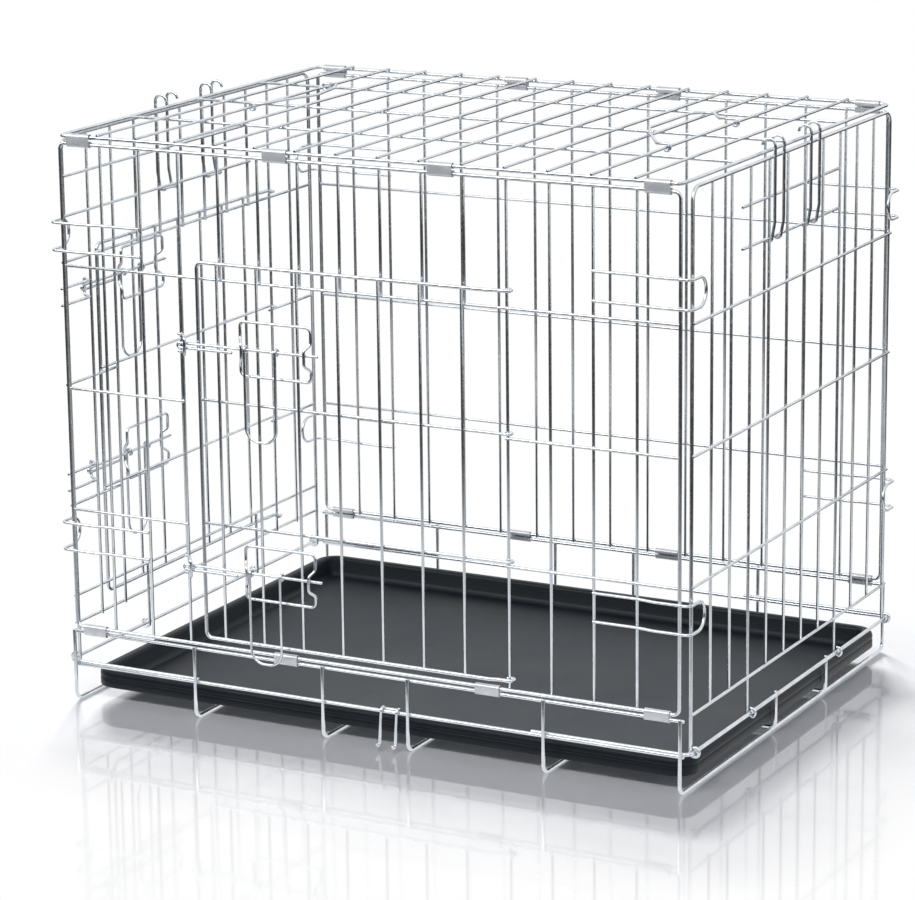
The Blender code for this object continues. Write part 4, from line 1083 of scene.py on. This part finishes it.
class Nodes:
    """Short calls for building one material or the world."""

    def __init__(self, name, world=False):
        if world:
            self.block = bpy.data.worlds.new(name)
        else:
            self.block = bpy.data.materials.new(name)
        self.block.use_nodes = True
        self.tree = self.block.node_tree
        self.tree.nodes.clear()

    def add(self, kind, **settings):
        node = self.tree.nodes.new(kind)
        for key, value in settings.items():
            setattr(node, key, value)
        return node

    def link(self, start, end):
        self.tree.links.new(start, end)

    def noise(self, vector, scale, detail=4.0, roughness=0.55):
        """Cloudy values between 0 and 1."""
        node = self.add("ShaderNodeTexNoise")
        node.inputs["Scale"].default_value = scale
        node.inputs["Detail"].default_value = detail
        node.inputs["Roughness"].default_value = roughness
        self.link(vector, node.inputs["Vector"])
        return node.outputs["Fac"]

    def join(self, operation, first, second):
        """One value made from two."""
        node = self.add("ShaderNodeMath", operation=operation)
        self.link(first, node.inputs[0])
        self.link(second, node.inputs[1])
        return node.outputs[0]

    def vector(self, operation, first, fixed=(0.0, 0.0, 0.0)):
        """A vector made from another and a fixed one."""
        node = self.add("ShaderNodeVectorMath", operation=operation)
        self.link(first, node.inputs[0])
        node.inputs[1].default_value = fixed
        return node.outputs["Vector"]

    def length(self, vector):
        """How long a vector is."""
        node = self.add("ShaderNodeVectorMath", operation="LENGTH")
        self.link(vector, node.inputs[0])
        return node.outputs["Value"]

    def spread(self, value, low, high, out_low, out_high):
        """The value moved from one range to another and held inside it."""
        node = self.add("ShaderNodeMapRange")
        node.inputs["From Min"].default_value = low
        node.inputs["From Max"].default_value = high
        node.inputs["To Min"].default_value = out_low
        node.inputs["To Max"].default_value = out_high
        self.link(value, node.inputs["Value"])
        return node.outputs["Result"]

    def blend(self, factor, first, second):
        """A mix of a colour, fixed or from a socket, with a fixed one."""
        node = self.add("ShaderNodeMix", data_type="RGBA")
        self.link(factor, node.inputs[0])
        if isinstance(first, tuple):
            node.inputs[MIX_FIRST].default_value = (*first, 1.0)
        else:
            self.link(first, node.inputs[MIX_FIRST])
        node.inputs[MIX_SECOND].default_value = (*second, 1.0)
        return node.outputs[MIX_RESULT]

    def layer(self, share, under, over):
        """One shader over another."""
        node = self.add("ShaderNodeMixShader")
        self.link(share, node.inputs[0])
        self.link(under.outputs[0], node.inputs[1])
        self.link(over.outputs[0], node.inputs[2])
        return node

    def surface(self, shader, kind="ShaderNodeOutputMaterial"):
        """Send a shader to the output."""
        self.link(shader.outputs[0], self.add(kind).inputs["Surface"])

    def bump(self, shader, height, strength, distance):
        """Raise a shader's surface by a height."""
        node = self.add("ShaderNodeBump")
        node.inputs["Strength"].default_value = strength
        node.inputs["Distance"].default_value = distance
        self.link(height, node.inputs["Height"])
        self.link(node.outputs["Normal"], shader.inputs["Normal"])


def metal(name, dark, light, rough, grain, metallic=1.0):
    """Zinc-plated steel: cloudy plating, fine specks and a dull heat stain at the welds."""
    made = Nodes(name)
    place = made.add("ShaderNodeTexCoord").outputs["Object"]
    cloud = made.noise(place, PLATING_SCALE, detail=5.0)
    speck = made.noise(place, SPECK_SCALE, detail=3.0, roughness=0.6)
    dull = made.noise(place, DULL_SCALE)
    plating = made.blend(made.spread(cloud, *CLOUD_RANGE, 0.0, 1.0), dark, light)
    weld = made.add("ShaderNodeAttribute", attribute_name="weld").outputs["Fac"]
    stained = made.join("MULTIPLY", weld, made.spread(speck, *GRAIN_RANGE, *STAIN_SHARE))
    shader = made.add("ShaderNodeBsdfPrincipled")
    shader.inputs["Metallic"].default_value = metallic
    made.link(made.blend(stained, plating, WELD_STAIN), shader.inputs["Base Color"])
    made.link(made.spread(dull, *GRAIN_RANGE, *rough), shader.inputs["Roughness"])
    made.bump(shader, speck, METAL_BUMP, grain)
    made.surface(shader)
    return made.block


def plastic(name):
    """Black moulded plastic with a fine pebbled grain and a little dust."""
    made = Nodes(name)
    place = made.add("ShaderNodeTexCoord").outputs["Object"]
    cloud = made.noise(place, DUST_SCALE)
    pebbles = made.add("ShaderNodeTexVoronoi")
    pebbles.inputs["Scale"].default_value = PEBBLE_SCALE
    made.link(place, pebbles.inputs["Vector"])
    fine = made.noise(place, FINE_SCALE, detail=2.0)
    shader = made.add("ShaderNodeBsdfPrincipled")
    dusty = made.spread(cloud, *CLOUD_RANGE, 0.0, 1.0)
    made.link(made.blend(dusty, PLASTIC_DARK, PLASTIC_DUSTY), shader.inputs["Base Color"])
    made.link(made.spread(cloud, *GRAIN_RANGE, *PLASTIC_ROUGHNESS), shader.inputs["Roughness"])
    shader.inputs["IOR"].default_value = PLASTIC_IOR
    shader.inputs["Specular IOR Level"].default_value = PLASTIC_SPECULAR
    made.bump(shader, made.join("ADD", pebbles.outputs["Distance"], fine), PLASTIC_BUMP, PEBBLE_DEPTH)
    made.surface(shader)
    return made.block


def make_world():
    """White round the back and above; for reflections, darker low on the camera's side."""
    made = Nodes("studio", world=True)
    path = made.add("ShaderNodeLightPath").outputs
    mirrored = made.join("MAXIMUM", path["Is Glossy Ray"], path["Is Transmission Ray"])
    shown = made.join("MAXIMUM", path["Is Camera Ray"], mirrored)
    ways = made.add("ShaderNodeSeparateXYZ")
    made.link(made.add("ShaderNodeTexCoord").outputs["Generated"], ways.inputs[0])
    behind = made.spread(ways.outputs["Y"], *BEHIND_FADE, STUDIO_DARK, 1.0)
    above = made.spread(ways.outputs["Z"], *ABOVE_FADE, STUDIO_DARK, 1.0)
    open_side = made.join("MAXIMUM", behind, above)
    light = made.add("ShaderNodeBackground")
    light.inputs["Color"].default_value = WORLD_TINT
    light.inputs["Strength"].default_value = WORLD_LIGHT
    white = made.add("ShaderNodeBackground")
    white.inputs["Color"].default_value = WHITE
    made.link(made.join("MAXIMUM", open_side, path["Is Camera Ray"]), white.inputs["Strength"])
    made.surface(made.layer(shown, light, white), "ShaderNodeOutputWorld")
    bpy.context.scene.world = made.block


def floor_finish():
    """Glossy white: lit and shadowed round the crate, plain white further out."""
    made = Nodes("studio_floor")
    path = made.add("ShaderNodeLightPath").outputs
    place = made.add("ShaderNodeTexCoord").outputs["Object"]
    aside = made.vector("ABSOLUTE", made.vector("SUBTRACT", place, SHADOW_MIDDLE))
    outside = made.vector("MAXIMUM", made.vector("SUBTRACT", aside, SHADOW_HALF))
    past_shadow = made.length(outside)

    # The camera sees the lit floor turn to plain white. Reflections see a painted glow on the floor instead,
    # a pool of light that is bright round the crate and darkens far out
    diffuse = made.add("ShaderNodeBsdfDiffuse")
    diffuse.inputs["Color"].default_value = (*FLOOR_TONE, 1.0)
    glow = made.add("ShaderNodeEmission")
    glow.inputs["Color"].default_value = WHITE
    # Painted pool of light: the glow that reflections see fades with distance from the middle
    mirrored = made.spread(made.length(place), *MIRROR_FADE, 1.0, STUDIO_DARK)
    made.link(made.join("MAXIMUM", mirrored, path["Is Camera Ray"]), glow.inputs["Strength"])
    far = made.spread(past_shadow, *FLOOR_FADE, FLOOR_LIFT, 1.0)
    to_camera = made.join("MULTIPLY", far, path["Is Camera Ray"])
    to_mirror = made.join("MAXIMUM", path["Is Glossy Ray"], path["Is Transmission Ray"])
    base = made.layer(made.join("MAXIMUM", to_camera, to_mirror), diffuse, glow)

    # Only the camera sees the floor's own gloss, which fades with distance
    gloss = made.add("ShaderNodeBsdfGlossy")
    gloss.inputs["Color"].default_value = WHITE
    gloss.inputs["Roughness"].default_value = FLOOR_POLISH
    polished = made.spread(past_shadow, *GLOSS_FADE, FLOOR_GLOSS, 0.0)
    made.surface(made.layer(made.join("MULTIPLY", polished, path["Is Camera Ray"]), base, gloss))
    return made.block


def make_floor():
    """The studio floor, one wide square."""
    half = FLOOR_HALF
    corners = [(-half, -half, 0.0), (half, -half, 0.0), (half, half, 0.0), (-half, half, 0.0)]
    mesh = bpy.data.meshes.new("floor")
    mesh.from_pydata(corners, [], [(0, 1, 2, 3)])
    mesh.materials.append(floor_finish())
    floor = bpy.data.objects.new("floor", mesh)
    bpy.context.scene.collection.objects.link(floor)


def make_lamp(name, place, size, power, mirrored=True, matt=True):
    """A soft lamp that faces the crate and can be hidden from reflections or from matt surfaces."""
    lamp = bpy.data.lights.new(name, "AREA")
    lamp.shape = "RECTANGLE"
    lamp.size = size[0]
    lamp.size_y = size[1]
    lamp.energy = power
    obj = bpy.data.objects.new(name, lamp)
    obj.location = place
    aim = LAMP_AIM - Vector(place)
    obj.rotation_euler = aim.to_track_quat("-Z", "Y").to_euler()
    obj.visible_glossy = mirrored
    obj.visible_diffuse = matt
    bpy.context.scene.collection.objects.link(obj)


def make_camera():
    """The camera that the photograph's corners give."""
    turn = Matrix.Rotation(TURN.length, 3, TURN.normalized())
    place = -(turn.transposed() @ SHIFT) * METRES
    flip = Matrix.Diagonal((1.0, -1.0, -1.0))
    camera = bpy.data.cameras.new("camera")
    camera.sensor_fit = "HORIZONTAL"
    camera.sensor_width = SENSOR
    camera.lens = FOCAL_PIXELS / PHOTO_WIDTH * SENSOR
    camera.clip_end = VIEW_END
    obj = bpy.data.objects.new("camera", camera)
    obj.matrix_world = Matrix.Translation(place) @ (turn.transposed() @ flip).to_4x4()
    bpy.context.scene.collection.objects.link(obj)
    bpy.context.scene.camera = obj


ZINC = metal(
    "zinc_wire_finish",
    dark=(0.64, 0.69, 0.74), light=(0.78, 0.81, 0.84), rough=(0.20, 0.29), grain=0.00004,
)
# Clips: the zinc tone of the rolled clips, half metallic, made lighter than the wires' zinc as a painted
# sheen for the bright light the clips reflect
CLIP_ZINC_PAINTED_SHEEN = metal(
    "rolled_zinc_painted_sheen",
    dark=(0.70, 0.72, 0.75), light=(0.80, 0.82, 0.84), rough=(0.34, 0.46), grain=0.0001, metallic=0.45,
)
PLASTIC = plastic("black_plastic_finish")

make_camera()
make_world()
make_floor()
make_lamp("key_lamp", place=(0.1, -1.5, 2.0), size=(1.5, 0.4), power=18.0)
make_lamp("fill_lamp", place=(2.2, -1.4, 1.0), size=(0.7, 0.9), power=5.0)
make_lamp("back_lamp", place=(-2.9, 4.1, 1.1), size=(1.6, 0.5), power=880.0, mirrored=False)
make_lamp("bright_card", place=(-1.3, -1.7, 1.5), size=(1.4, 0.8), power=20.0, matt=False)

build_base()
build_wall("front_panel", -1, True)
build_wall("back_panel", 1, False)
build_top_panel()
build_end_panel("left_end_panel", -1, True)
build_end_panel("right_end_panel", 1, False)
build_front_door()
build_left_door()
build_tongues()
build_top_hooks()
build_bails()
build_closure_hook()
build_clips()
build_tray()

bpy.context.scene.view_settings.view_transform = "Standard"
bpy.context.view_layer.update()
